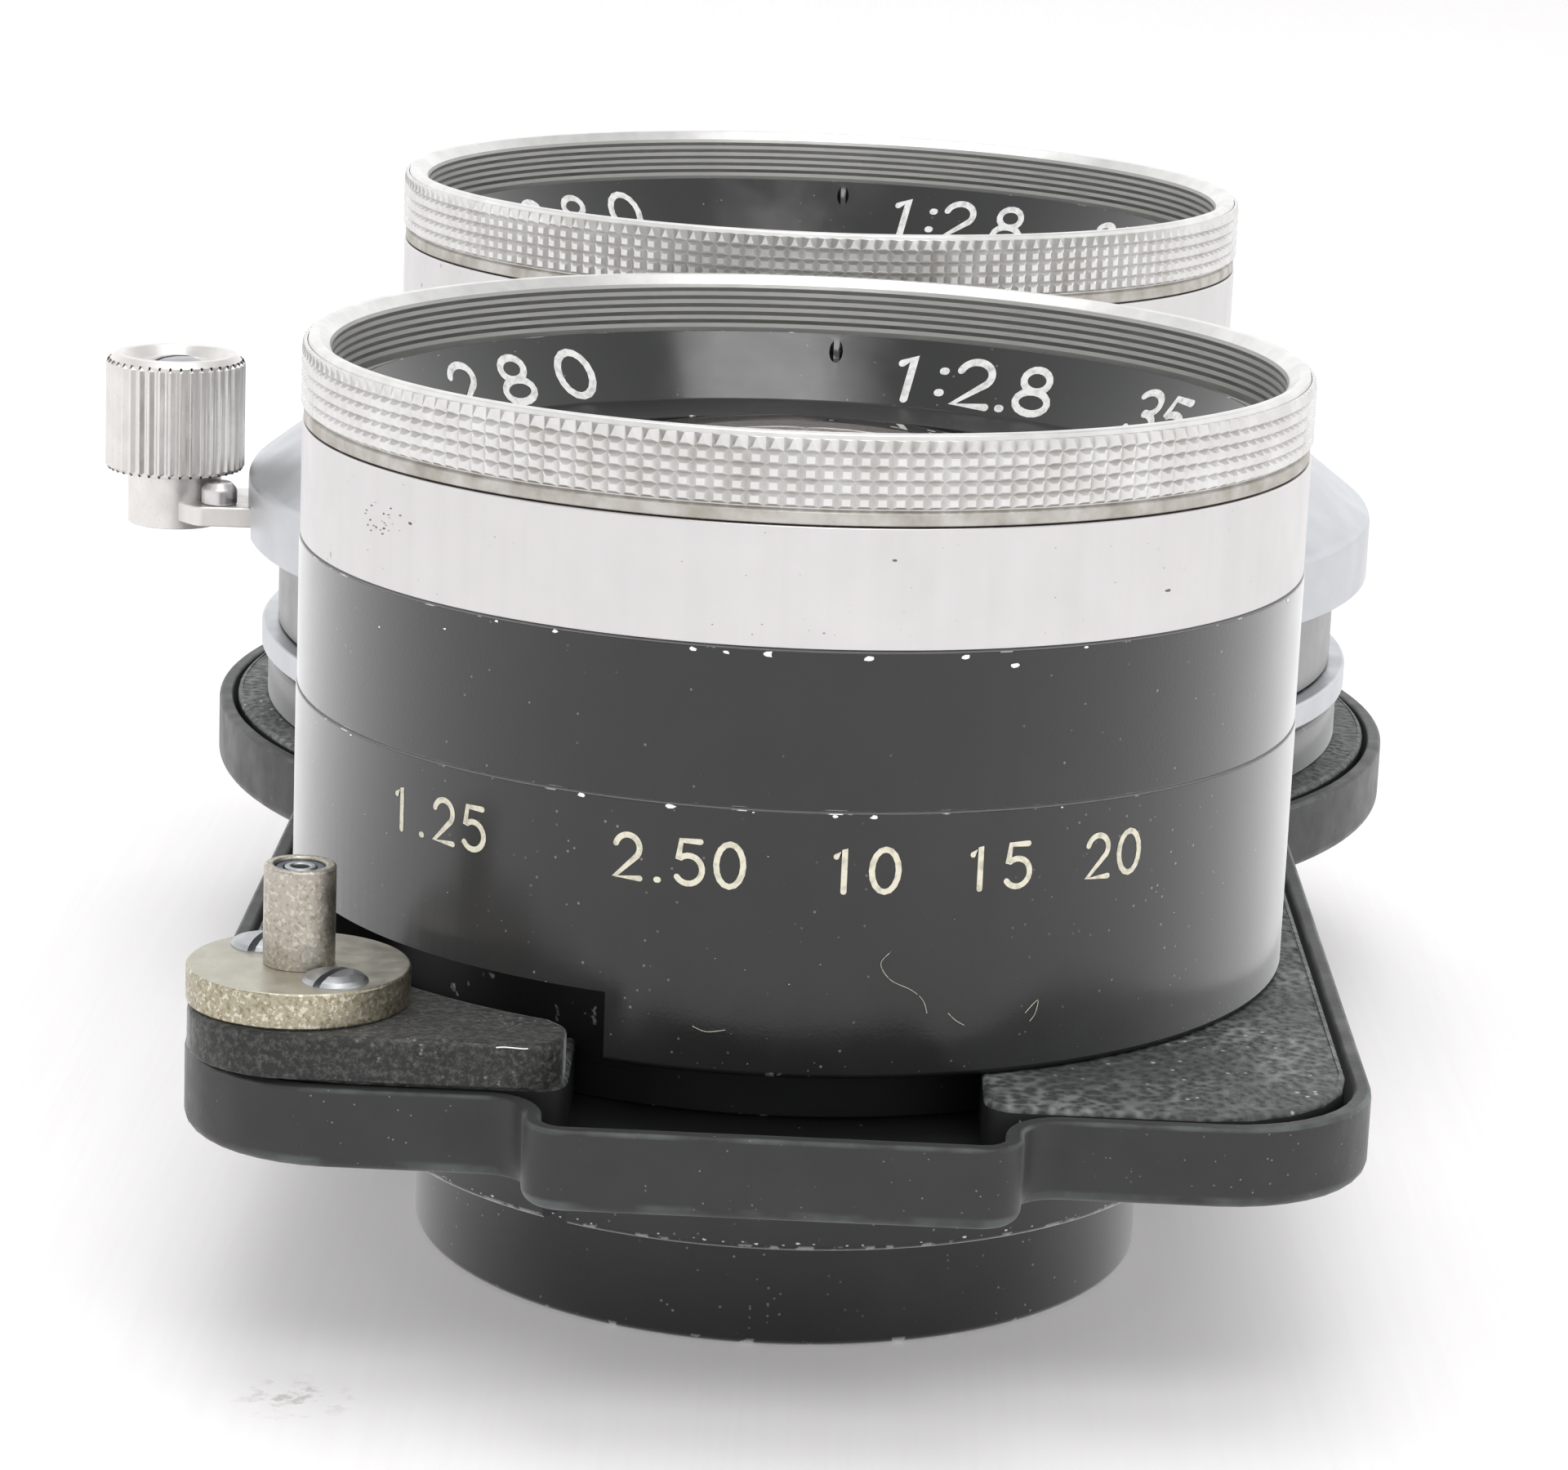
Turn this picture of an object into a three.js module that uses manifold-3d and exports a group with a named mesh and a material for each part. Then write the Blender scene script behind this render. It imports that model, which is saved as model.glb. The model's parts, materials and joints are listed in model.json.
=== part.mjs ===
// Twin-lens set on an interchangeable lens board: a viewing lens, a taking lens and its shutter.
// Millimetres, +Z out of the lenses' front, +Y from the viewing axis to the taking axis.
// The frame's origin is on the board's rear face, midway between the two optical axes.
import * as THREE from "three";
import { mergeVertices } from "three/addons/utils/BufferGeometryUtils.js";
import Module from "manifold-3d";

const wasm = await Module();
wasm.setup();

// ---- driving sizes; every height below is measured from the rear rims of the barrels ----
const LENS_SPACING = 50; // between the optical axes
const BOARD_BACK = 11.2; // the board's rear face
const BOARD_FLOOR = 12.4; // top of the pan's floor
const BOARD_RIM = 15.0; // top of the pan's rim
const RIM_WALL = 0.8;
const RIM_FILLET = 0.9;
const NARROW_HALF_WIDTH = 26.9; // of the board around the viewing lens
const NEAR_EDGE = 28.1; // from the viewing axis to the board's near edge
const NEAR_CORNER = 8.0;
const TAB_HALF_WIDTH = 10.9;
const TAB_EDGE = 32.4; // from the viewing axis to the tab's outer face
const TAB_CORNER = 1.9;
const EAR_RADIUS = 34.75; // of the board around the taking axis
const COVER_TOP = 15.2; // leatherette cover plate
const COVER_GAP = 0.3;
const BARREL_RADIUS = 24.45;
const RING_RADIUS = 24.4; // filter rings
const COVER_HOLE = 21.7;
const NOTCH_HALF = 9.25; // of the cover's opening behind the tab
const NOTCH_TIP = 1.4;
const REAR_RADIUS = 18.04;
const THROAT_RADIUS = 17.5; // of what passes through the board
const BOARD_BORE = 17.8;
const FLANGE_RADIUS = 20.5; // rear lock rings
const TAKING_LIFT = 2.0; // the taking lens's front stands this much higher
const CASE_RADIUS = 31.35; // shutter
const HOUSING_RADIUS = 33.2; // shutter's front housing
const SHUTTER_CUT = 24.8; // radius cut out of the shutter around the viewing barrel
const COCK_ANGLE = 183; // of the cocking knob at rest, degrees about the taking axis
const COCK_REACH = 37.65;
const COCK_TRAVEL = 58;
const KNOB_TOP = 34.8;
const IRIS_PIVOT = 15.0;
const IRIS_TRAVEL = 40;
const SHUTTER_PIVOT = 18.0;
const SHUTTER_TRAVEL = 44;
const LOCK_NOTCH = -119.5; // a lock ring's first spanner notch, degrees
const BLADES = 5;
const BLADE_THICKNESS = 0.15;
const BLADE_PITCH = 0.3;
const APERTURE_ANGLE = 75;
const RELEASE = { r: 26.9, angle: 66 };
const SYNC = { r: 28.2, angle: 48 };
const TERMINAL = { x: -21.67, y: -22.26 }; // from the viewing axis
const BLOCK_TOP = 17.3;
const FLANGE_TOP = 19.0;
const TERMINAL_TOP = 23.6;
const SCREW_HEAD = 1.5; // of the terminal's two screws
const SCREW_SHANK = 0.55;
const SCREW_LENGTH = 2.8;
const SET_SCREW = { angle: 2, height: 37.6 }; // in the viewing lens's band
const SEG = 32; // facets around a barrel
const FINE = 16; // facets around a small pin

const viewing = { x: 0, y: -LENS_SPACING / 2 };
const taking = { x: 0, y: LENS_SPACING / 2 };
const rad = THREE.MathUtils.degToRad;

const root = new THREE.Group();
root.name = "twin_lens_set";

const BLACK = { color: 0x1b1c1e, metalness: 0.4, roughness: 0.5 };
const ALUMINIUM = { color: 0xc9cacb, metalness: 1, roughness: 0.35 };
const NICKEL = { color: 0xb5ad9c, metalness: 1, roughness: 0.4 };
const STEEL = { color: 0x8d8f92, metalness: 1, roughness: 0.35 };
const LEATHERETTE = { color: 0x151516, metalness: 0, roughness: 0.8 };
const PLASTIC = { color: 0x221e1a, metalness: 0, roughness: 0.6 };
const GLASS = { color: 0x9fb4c8, metalness: 0, roughness: 0.05, transparent: true, opacity: 0.35 };

// A closed, outward-facing manifold-3d solid from a three.js geometry.
function solid(geometry) {
  const bare = new THREE.BufferGeometry();
  bare.setAttribute("position", geometry.getAttribute("position"));
  if (geometry.index) bare.setIndex(geometry.index);
  const merged = mergeVertices(bare, 1e-4);
  const index = merged.index.array;
  const position = merged.getAttribute("position");
  const kept = [];
  let volume = 0;
  const a = new THREE.Vector3();
  const b = new THREE.Vector3();
  const c = new THREE.Vector3();
  for (let i = 0; i < index.length; i += 3) {
    const [p, q, r] = [index[i], index[i + 1], index[i + 2]];
    if (p === q || q === r || r === p) continue;
    kept.push([p, q, r]);
    a.fromBufferAttribute(position, p);
    b.fromBufferAttribute(position, q);
    c.fromBufferAttribute(position, r);
    volume += a.dot(b.cross(c));
  }
  const faces = volume < 0 ? kept.map(([p, q, r]) => [p, r, q]) : kept;
  return new wasm.Manifold(
    new wasm.Mesh({
      numProp: 3,
      vertProperties: new Float32Array(position.array),
      triVerts: new Uint32Array(faces.flat()),
    }),
  );
}

// The solid as a flat-shaded geometry.
function geometryOf(made) {
  const mesh = made.getMesh();
  const indexed = new THREE.BufferGeometry();
  const points = new Float32Array(mesh.numVert * 3);
  for (let i = 0; i < mesh.numVert; i++) {
    const start = i * mesh.numProp;
    points.set(mesh.vertProperties.subarray(start, start + 3), i * 3);
  }
  indexed.setAttribute("position", new THREE.BufferAttribute(points, 3));
  indexed.setIndex(new THREE.BufferAttribute(new Uint32Array(mesh.triVerts), 1));
  const flat = indexed.toNonIndexed();
  flat.computeVertexNormals();
  return flat;
}

// One named node, placed at a lens axis; heights become heights above the board's rear face.
function add(name, made, material, at = { x: 0, y: 0 }) {
  const mesh = new THREE.Mesh(geometryOf(made), new THREE.MeshStandardMaterial(material));
  mesh.name = name;
  mesh.position.set(at.x, at.y, -BOARD_BACK);
  root.add(mesh);
}

// A turned body: [radius, height] pairs, either from axis to axis or a closed loop.
function turned(profile, segments = SEG, lift = 0) {
  const points = profile.map(([r, z]) => new THREE.Vector2(r, z + lift));
  const onAxis = profile[0][0] === 0 && profile[profile.length - 1][0] === 0;
  if (!onAxis) points.push(points[0].clone());
  const geometry = new THREE.LatheGeometry(points, segments);
  geometry.rotateX(Math.PI / 2);
  return solid(geometry);
}

// A plate cut from a flat outline.
function plate(shape, z0, z1, curveSegments = 12) {
  const options = { depth: z1 - z0, bevelEnabled: false, curveSegments };
  const geometry = new THREE.ExtrudeGeometry(shape, options);
  geometry.translate(0, 0, z0);
  return solid(geometry);
}

// A round pin or cutter.
function pin(x, y, r, z0, z1, segments = FINE) {
  const geometry = new THREE.CylinderGeometry(r, r, z1 - z0, segments);
  geometry.rotateX(Math.PI / 2);
  geometry.translate(x, y, (z0 + z1) / 2);
  return solid(geometry);
}

function block(x0, x1, y0, y1, z0, z1) {
  const geometry = new THREE.BoxGeometry(x1 - x0, y1 - y0, z1 - z0);
  geometry.translate((x0 + x1) / 2, (y0 + y1) / 2, (z0 + z1) / 2);
  return solid(geometry);
}

// An arc-shaped cutter between two radii and two angles in degrees.
function sector(r0, r1, from, to, z0, z1) {
  const shape = new THREE.Shape();
  shape.absarc(0, 0, r1, rad(from), rad(to), false);
  shape.absarc(0, 0, r0, rad(to), rad(from), true);
  return plate(shape, z0, z1, 8);
}

const polar = (r, degrees) => ({ x: r * Math.cos(rad(degrees)), y: r * Math.sin(rad(degrees)) });
const turnedBy = (made, degrees) => made.rotate([0, 0, degrees]);

// ---- the board ----

// The board's outline, seen from the front, around the viewing axis.
function boardOutline() {
  const shape = new THREE.Shape();
  const meet = LENS_SPACING - Math.sqrt(EAR_RADIUS ** 2 - NARROW_HALF_WIDTH ** 2);
  const w = NARROW_HALF_WIDTH;
  const c = NEAR_CORNER;
  const t = TAB_CORNER;
  const corner = Math.atan2(meet - LENS_SPACING, w);
  shape.moveTo(w, -NEAR_EDGE + c);
  shape.lineTo(w, meet);
  shape.absarc(0, LENS_SPACING, EAR_RADIUS, corner, Math.PI - corner, false);
  shape.lineTo(-w, -NEAR_EDGE + c);
  shape.absarc(-w + c, -NEAR_EDGE + c, c, Math.PI, 1.5 * Math.PI, false);
  shape.absarc(-TAB_HALF_WIDTH - t, -NEAR_EDGE - t, t, Math.PI / 2, 0, true);
  shape.absarc(-TAB_HALF_WIDTH + t, -TAB_EDGE + t, t, Math.PI, 1.5 * Math.PI, false);
  shape.absarc(TAB_HALF_WIDTH - t, -TAB_EDGE + t, t, 1.5 * Math.PI, 2 * Math.PI, false);
  shape.absarc(TAB_HALF_WIDTH + t, -NEAR_EDGE - t, t, Math.PI, Math.PI / 2, true);
  shape.absarc(w - c, -NEAR_EDGE + c, c, 1.5 * Math.PI, 2 * Math.PI, false);
  const all = shape.getPoints(4);
  const points = all.filter((p, i) => i === 0 || p.distanceTo(all[i - 1]) > 1e-3);
  if (points[0].distanceTo(points[points.length - 1]) < 1e-3) points.pop();
  return refined(points);
}

// The ear's long arc needs more points than the small corners.
function refined(points) {
  const onEar = (v) => Math.abs(Math.hypot(v.x, v.y - LENS_SPACING) - EAR_RADIUS) < 1e-3;
  const out = [];
  points.forEach((p, i) => {
    out.push(p);
    const q = points[(i + 1) % points.length];
    if (!onEar(p) || !onEar(q)) return;
    const a = Math.atan2(p.y - LENS_SPACING, p.x);
    let step = Math.atan2(q.y - LENS_SPACING, q.x) - a;
    if (step < 0) step += 2 * Math.PI;
    for (let k = 1; k < 4; k++) {
      const angle = a + (step * k) / 4;
      const x = EAR_RADIUS * Math.cos(angle);
      const y = LENS_SPACING + EAR_RADIUS * Math.sin(angle);
      out.push(new THREE.Vector2(x, y));
    }
  });
  return out;
}

// The outline moved inwards by a distance, point for point.
function inset(points, distance) {
  return points.map((p, i) => {
    const before = points[(i + points.length - 1) % points.length];
    const after = points[(i + 1) % points.length];
    const d0 = p.clone().sub(before).normalize();
    const d1 = after.clone().sub(p).normalize();
    const normal = new THREE.Vector2(-d0.y - d1.y, d0.x + d1.x).normalize();
    const spread = normal.dot(new THREE.Vector2(-d0.y, d0.x));
    return p.clone().addScaledVector(normal, distance / spread);
  });
}

// A solid through a stack of matching outlines: [distance inwards, height] pairs, bottom first.
function stacked(outline, levels) {
  const rings = levels.map(([distance, z]) => inset(outline, distance).map((p) => [p.x, p.y, z]));
  const count = outline.length;
  const vertices = rings.flat(2);
  const faces = [];
  for (let level = 0; level + 1 < rings.length; level++)
    for (let i = 0; i < count; i++) {
      const a = level * count + i;
      const b = level * count + ((i + 1) % count);
      faces.push(a, b, b + count, a, b + count, a + count);
    }
  const cap = THREE.ShapeUtils.triangulateShape(inset(outline, levels[0][0]), []);
  const top = (rings.length - 1) * count;
  for (const [a, b, c] of cap) faces.push(a, c, b, a + top, b + top, c + top);
  const geometry = new THREE.BufferGeometry();
  geometry.setAttribute("position", new THREE.Float32BufferAttribute(vertices, 3));
  geometry.setIndex(faces);
  return solid(geometry);
}

const outline = boardOutline();
const barrelHoles = (r, z0, z1) => [0, LENS_SPACING].map((y) => pin(0, y, r, z0, z1, SEG));

function lensBoard() {
  const f = RIM_FILLET;
  const onArc = f * (1 - Math.SQRT1_2);
  const bevel = 0.15;
  const outside = stacked(outline, [
    [f, BOARD_BACK],
    [onArc, BOARD_BACK + onArc],
    [0, BOARD_BACK + f],
    [0, BOARD_RIM - bevel],
    [bevel, BOARD_RIM],
  ]);
  const inside = stacked(outline, [
    [RIM_WALL, BOARD_FLOOR],
    [RIM_WALL, BOARD_RIM + 1],
  ]);
  const bores = barrelHoles(BOARD_BORE, BOARD_BACK - 1, BOARD_FLOOR + 1);
  const seats = barrelHoles(FLANGE_RADIUS + 0.5, BOARD_BACK - 1, BOARD_BACK + 0.3);
  return [inside, ...bores, ...seats].reduce((made, cutter) => made.subtract(cutter), outside);
}

function boardCover() {
  const rim = RIM_WALL + COVER_GAP;
  const bevel = 0.3;
  const whole = stacked(outline, [
    [rim, BOARD_FLOOR],
    [rim, COVER_TOP - bevel],
    [rim + bevel, COVER_TOP],
  ]);
  const half = NOTCH_HALF;
  const wide = NOTCH_HALF + NOTCH_TIP;
  const edge = -NEAR_EDGE + rim;
  const behind = -15; // well inside the viewing barrel's hole
  const notch = new THREE.Shape();
  notch.moveTo(-half, behind);
  notch.lineTo(-half, edge + NOTCH_TIP);
  notch.quadraticCurveTo(-half, edge, -wide, edge - 0.02);
  notch.lineTo(-wide, -TAB_EDGE - 1);
  notch.lineTo(wide, -TAB_EDGE - 1);
  notch.lineTo(wide, edge - 0.02);
  notch.quadraticCurveTo(half, edge, half, edge + NOTCH_TIP);
  notch.lineTo(half, behind);
  const cutters = barrelHoles(COVER_HOLE, BOARD_FLOOR - 1, COVER_TOP + 1);
  cutters.push(plate(notch, BOARD_FLOOR - 1, COVER_TOP + 1, 5));
  return cutters.reduce((made, cutter) => made.subtract(cutter), whole);
}

// ---- the flash terminal on its block ----

const terminalScrews = [
  { x: TERMINAL.x + 1.92, y: TERMINAL.y - 2.59 },
  { x: TERMINAL.x - 1.92, y: TERMINAL.y + 2.59 },
];

function terminalBlock() {
  const c = NEAR_CORNER - 0.3;
  const w = NARROW_HALF_WIDTH - 0.3;
  const y = -NEAR_EDGE + 0.3;
  const back = 25.7; // radius that clears the viewing barrel
  const right = 10.2;
  const top = 16.4;
  const backRight = Math.sqrt(back ** 2 - right ** 2);
  const backLeft = Math.sqrt(back ** 2 - top ** 2);
  const shape = new THREE.Shape();
  shape.moveTo(-11.2, y);
  shape.absarc(-11.2, y + 1.8, 1.8, -Math.PI / 2, 0, false);
  shape.lineTo(-9.4, -backRight - 1);
  shape.lineTo(-right, -backRight);
  shape.absarc(0, 0, back, Math.atan2(-backRight, -right), Math.atan2(-top, -backLeft), true);
  shape.lineTo(-w + 1.6, -top);
  shape.quadraticCurveTo(-w, -top, -w, -top - 1.6);
  shape.lineTo(-w, y + c);
  shape.absarc(-w + c, y + c, c, Math.PI, 1.5 * Math.PI, false);
  let made = plate(shape, COVER_TOP + 0.05, BLOCK_TOP, 10);
  for (const s of terminalScrews) {
    made = made.subtract(pin(s.x, s.y, 0.7, 15.9, BLOCK_TOP + 1, 10));
  }
  return made;
}

function terminalFlange() {
  const profile = [
    [0, BLOCK_TOP],
    [5.05, BLOCK_TOP],
    [5.05, FLANGE_TOP - 0.15],
    [4.9, FLANGE_TOP],
    [0, FLANGE_TOP],
  ];
  let made = turned(profile).translate([TERMINAL.x, TERMINAL.y, 0]);
  for (const s of terminalScrews) {
    made = made.subtract(pin(s.x, s.y, 0.7, BLOCK_TOP - 1, FLANGE_TOP + 1, 10));
  }
  return made;
}

// An oval-headed slotted screw standing on a face at height z.
function ovalScrew(x, y, head, z, shank, length, slotAngle) {
  const profile = [
    [0, z - length],
    [shank, z - length],
    [shank, z],
    [head, z],
    [head * 0.93, z + head * 0.1],
    [head * 0.55, z + head * 0.3],
    [0, z + head * 0.38],
  ];
  const slot = block(-head * 2, head * 2, -head * 0.12, head * 0.12, z + head * 0.08, z + head);
  return turned(profile, 16).subtract(turnedBy(slot, slotAngle)).translate([x, y, 0]);
}

function terminalScrew(where, slotAngle) {
  return ovalScrew(where.x, where.y, SCREW_HEAD, FLANGE_TOP, SCREW_SHANK, SCREW_LENGTH, slotAngle);
}

function tube(r0, r1, z0, z1, segments) {
  const profile = [
    [r0, z0],
    [r1, z0],
    [r1, z1],
    [r0, z1],
  ];
  return turned(profile, segments);
}

add("lens_board", lensBoard(), BLACK, viewing);
add("board_cover", boardCover(), LEATHERETTE, viewing);
add("terminal_block", terminalBlock(), BLACK, viewing);
add("terminal_flange", terminalFlange(), NICKEL, viewing);
add("terminal_screw_near", terminalScrew(terminalScrews[0], 62), STEEL, viewing);
add("terminal_screw_far", terminalScrew(terminalScrews[1], 75), STEEL, viewing);
const terminalAxis = { x: viewing.x + TERMINAL.x, y: viewing.y + TERMINAL.y };
add("terminal_shell", tube(1.15, 1.625, FLANGE_TOP, TERMINAL_TOP, 20), NICKEL, terminalAxis);
const insulator = tube(0.78, 1.1, FLANGE_TOP, TERMINAL_TOP - 0.15, 16);
const contact = tube(0.42, 0.72, FLANGE_TOP, TERMINAL_TOP - 0.1, 16);
add("terminal_insulator", insulator, PLASTIC, terminalAxis);
add("terminal_contact", contact, NICKEL, terminalAxis);

// ---- pieces that both lenses have ----

// The knurled ring with the filter thread: its crest is the highest point of the lens.
const filterRing = (lift) =>
  turned(
    [
      [22.6, 39.3],
      [23.3, 39.3],
      [23.3, 40.35],
      [24.25, 40.35],
      [24.25, 41.02],
      [RING_RADIUS, 41.1],
      [RING_RADIUS, 44.1],
      [24.05, 44.4],
      [23.55, 44.4],
      [23.0, 43.85],
      [23.0, 41.6],
      [22.6, 41.2],
    ],
    SEG,
    lift,
  );

const band = (lift) => tube(23.4, 24.35, 34.85 + lift, 40.3 + lift, SEG);

// Slopes down to the glass inside the filter thread.
const nameRing = (lift) =>
  turned(
    [
      [15.2, 35.9],
      [22.1, 35.9],
      [22.1, 41.6],
      [21.95, 41.6],
      [19.8, 38.3],
      [15.2, 38.3],
    ],
    SEG,
    lift,
  );

// A lens: the rim heights of its lower and upper surfaces, and how far each bulges.
function element(r, z0, sag0, z1, sag1) {
  const profile = [
    [0, z0 - sag0],
    [r * 0.6, z0 - sag0 * 0.64],
    [r, z0],
    [r, z1],
    [r * 0.8, z1 + sag1 * 0.37],
    [r * 0.4, z1 + sag1 * 0.85],
    [0, z1 + sag1],
  ];
  return turned(profile, 24);
}

// The ring that holds a barrel from behind, with its two spanner notches.
function lockRing() {
  const ring = turned([
    [17.65, 5.6],
    [20.2, 5.6],
    [FLANGE_RADIUS, 5.9],
    [FLANGE_RADIUS, 11.5],
    [17.65, 11.5],
  ]);
  const notch = block(18.9, 22, -0.65, 0.65, 5, 7);
  return ring.subtract(turnedBy(notch, LOCK_NOTCH)).subtract(turnedBy(notch, LOCK_NOTCH + 180));
}

const rearBarrel = () =>
  turned([
    [15.3, 0],
    [17.7, 0],
    [REAR_RADIUS, 0.3],
    [REAR_RADIUS, 5.3],
    [16.5, 5.3],
    [16.5, 9],
    [15.3, 9],
  ]);

// What shows behind the board on either lens.
function addRear(prefix, axis) {
  add(`${prefix}_lock_ring`, lockRing(), BLACK, axis);
  add(`${prefix}_rear_barrel`, rearBarrel(), BLACK, axis);
  add(`${prefix}_rear_retainer`, tube(13.0, 15.2, 0.8, 1.6, SEG), BLACK, axis);
  add(`${prefix}_rear_element`, element(15.1, 2.8, 1.1, 5.2, 0), GLASS, axis);
}

// ---- the viewing lens ----

function viewingBarrel() {
  const made = turned([
    [16.6, 6.5],
    [THROAT_RADIUS, 6.5],
    [THROAT_RADIUS, BOARD_FLOOR],
    [21.5, BOARD_FLOOR],
    [21.5, COVER_TOP],
    [24.15, COVER_TOP],
    [BARREL_RADIUS, COVER_TOP + 0.3],
    [BARREL_RADIUS, 27.5],
    [22.1, 27.5],
    [22.1, 30],
    [20.9, 30],
    [20.9, 14],
    [16.6, 14],
  ]);
  return made.subtract(sector(21.4, 27, -153.5, -108.65, 14, 18.5));
}

function viewingBand() {
  const hole = new THREE.CylinderGeometry(0.8, 0.8, 4, 12);
  hole.rotateZ(Math.PI / 2);
  hole.translate(24, 0, SET_SCREW.height);
  return band(0).subtract(turnedBy(solid(hole), SET_SCREW.angle));
}

function setScrew() {
  const body = new THREE.CylinderGeometry(0.7, 0.7, 0.6, 12);
  body.rotateZ(Math.PI / 2);
  body.translate(23.75, 0, SET_SCREW.height);
  const slot = block(23.9, 24.3, -0.9, 0.9, SET_SCREW.height - 0.1, SET_SCREW.height + 0.1);
  return turnedBy(solid(body).subtract(slot), SET_SCREW.angle);
}

const focusRing = turned([
  [22.25, 27.6],
  [RING_RADIUS, 27.6],
  [RING_RADIUS, 34.75],
  [23.25, 34.75],
  [23.25, 38.7],
  [22.25, 38.7],
]);
const viewingCell = turned([
  [14, 15],
  [20.8, 15],
  [20.8, 35.8],
  [15.2, 35.8],
  [15.2, 33],
  [14, 33],
]);

addRear("viewing", viewing);
add("viewing_barrel", viewingBarrel(), BLACK, viewing);
add("viewing_focus_ring", focusRing, BLACK, viewing);
add("viewing_band", viewingBand(), ALUMINIUM, viewing);
add("viewing_set_screw", setScrew(), STEEL, viewing);
add("viewing_filter_ring", filterRing(0), ALUMINIUM, viewing);
add("viewing_name_ring", nameRing(0), BLACK, viewing);
add("viewing_cell", viewingCell, BLACK, viewing);
add("viewing_front_element", element(15.0, 33.2, 0.8, 37.7, 2.65), GLASS, viewing);
add("viewing_middle_element", element(13.8, 25, 0.8, 27, -0.8), GLASS, viewing);

// ---- the taking lens and its shutter ----

addRear("taking", taking);

// The shutter's round pieces are wider than the room beside the viewing barrel, so they are cut.
const clearOfViewing = (made) => made.subtract(pin(0, -LENS_SPACING, SHUTTER_CUT, 10, 40, SEG));

add(
  "taking_seat",
  clearOfViewing(
    turned([
      [16.6, 6.5],
      [THROAT_RADIUS, 6.5],
      [THROAT_RADIUS, BOARD_FLOOR],
      [21.5, BOARD_FLOOR],
      [21.5, COVER_TOP],
      [31.9, COVER_TOP],
      [31.9, 17.5],
      [31.6, 17.8],
      [16.6, 17.8],
    ]),
  ),
  BLACK,
  taking,
);
add("taking_rear_group", element(14.6, 13.5, 1.4, 16.5, 0.6), GLASS, taking);
const rearCell = turned([
  [14.7, 10.5],
  [16.5, 10.5],
  [16.5, 19.6],
  [13, 19.6],
  [13, 17.4],
  [14.7, 17.4],
]);
add("taking_rear_cell", rearCell, BLACK, taking);
const backPlate = turned([
  [16.7, 17.8],
  [31.2, 17.8],
  [31.2, 18.1],
  [32.3, 18.1],
  [32.3, 19.6],
  [16.7, 19.6],
]);
add("shutter_back_plate", clearOfViewing(backPlate), ALUMINIUM, taking);

const CASE_FLOOR = 20.3;
const IRIS_Z = 20.6;
const BLADE_PLATE = [22.6, 23.1];
const BLADE_EDGE = 12.7; // the blades' inner edge, just outside the opening
const BLADE_HOLE = 0.46;
const SHUTTER_Z = 23.4;
const ARM_Z = [25.2, 26.4];
const CASE_TOP = 26.7;

// Slots through the wall for what moves: [from, to] degrees, then [bottom, top].
const cockSlot = [COCK_ANGLE - COCK_TRAVEL - 8, COCK_ANGLE + 9.5];
const syncSlot = [SYNC.angle - 7, SYNC.angle + 7];
const releaseSlot = [RELEASE.angle - 5.5, RELEASE.angle + 10];
const apertureSlot = [APERTURE_ANGLE - 6, APERTURE_ANGLE + IRIS_TRAVEL + 6];

function shutterCase() {
  let made = clearOfViewing(
    turned([
      [12.6, 19.7],
      [CASE_RADIUS, 19.7],
      [CASE_RADIUS, CASE_TOP],
      [23.9, CASE_TOP],
      [23.9, BLADE_PLATE[0]],
      [23.3, BLADE_PLATE[0]],
      [23.3, CASE_FLOOR],
      [12.6, CASE_FLOOR],
    ]),
  );
  made = made.subtract(sector(22, 33, ...cockSlot, ARM_Z[0] - 0.25, CASE_TOP + 1));
  made = made.subtract(sector(22, 33, ...apertureSlot, 20.75, 22.15));
  made = made.subtract(sector(24.6, 33, ...releaseSlot, 23.3, 24.7));
  made = made.subtract(sector(26.4, 33, ...syncSlot, 25.0, CASE_TOP + 1));
  const release = polar(RELEASE.r, RELEASE.angle);
  const sync = polar(SYNC.r, SYNC.angle);
  made = made.add(pin(release.x, release.y, 0.8, 23.1, 24.9, 12));
  made = made.add(pin(sync.x, sync.y, 0.6, 24.8, 26.4, 12));
  return made;
}

// A crescent blade in its open place, pivoting at angle 0 and reaching round to the given angle.
function crescent(pivot, r0, r1, reach, z) {
  const middle = (r0 + r1) / 2;
  const half = (r1 - r0) / 2;
  const shape = new THREE.Shape();
  const end = polar(middle, reach);
  shape.absarc(0, 0, r1, 0, rad(reach), false);
  shape.absarc(end.x, end.y, half, rad(reach), rad(reach) + Math.PI, false);
  shape.absarc(0, 0, r0, rad(reach), 0, true);
  shape.absarc(middle, 0, half, Math.PI, 2 * Math.PI, false);
  const hole = pin(pivot, 0, BLADE_HOLE, z - 1, z + 1, 8);
  return plate(shape, z, z + BLADE_THICKNESS, 5).subtract(hole);
}

// The blade swung about its pivot, then carried to its place in the ring.
function swung(made, pivot, swing, around) {
  const tilted = turnedBy(made.translate([-pivot, 0, 0]), swing);
  return turnedBy(tilted.translate([pivot, 0, 0]), around);
}

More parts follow.
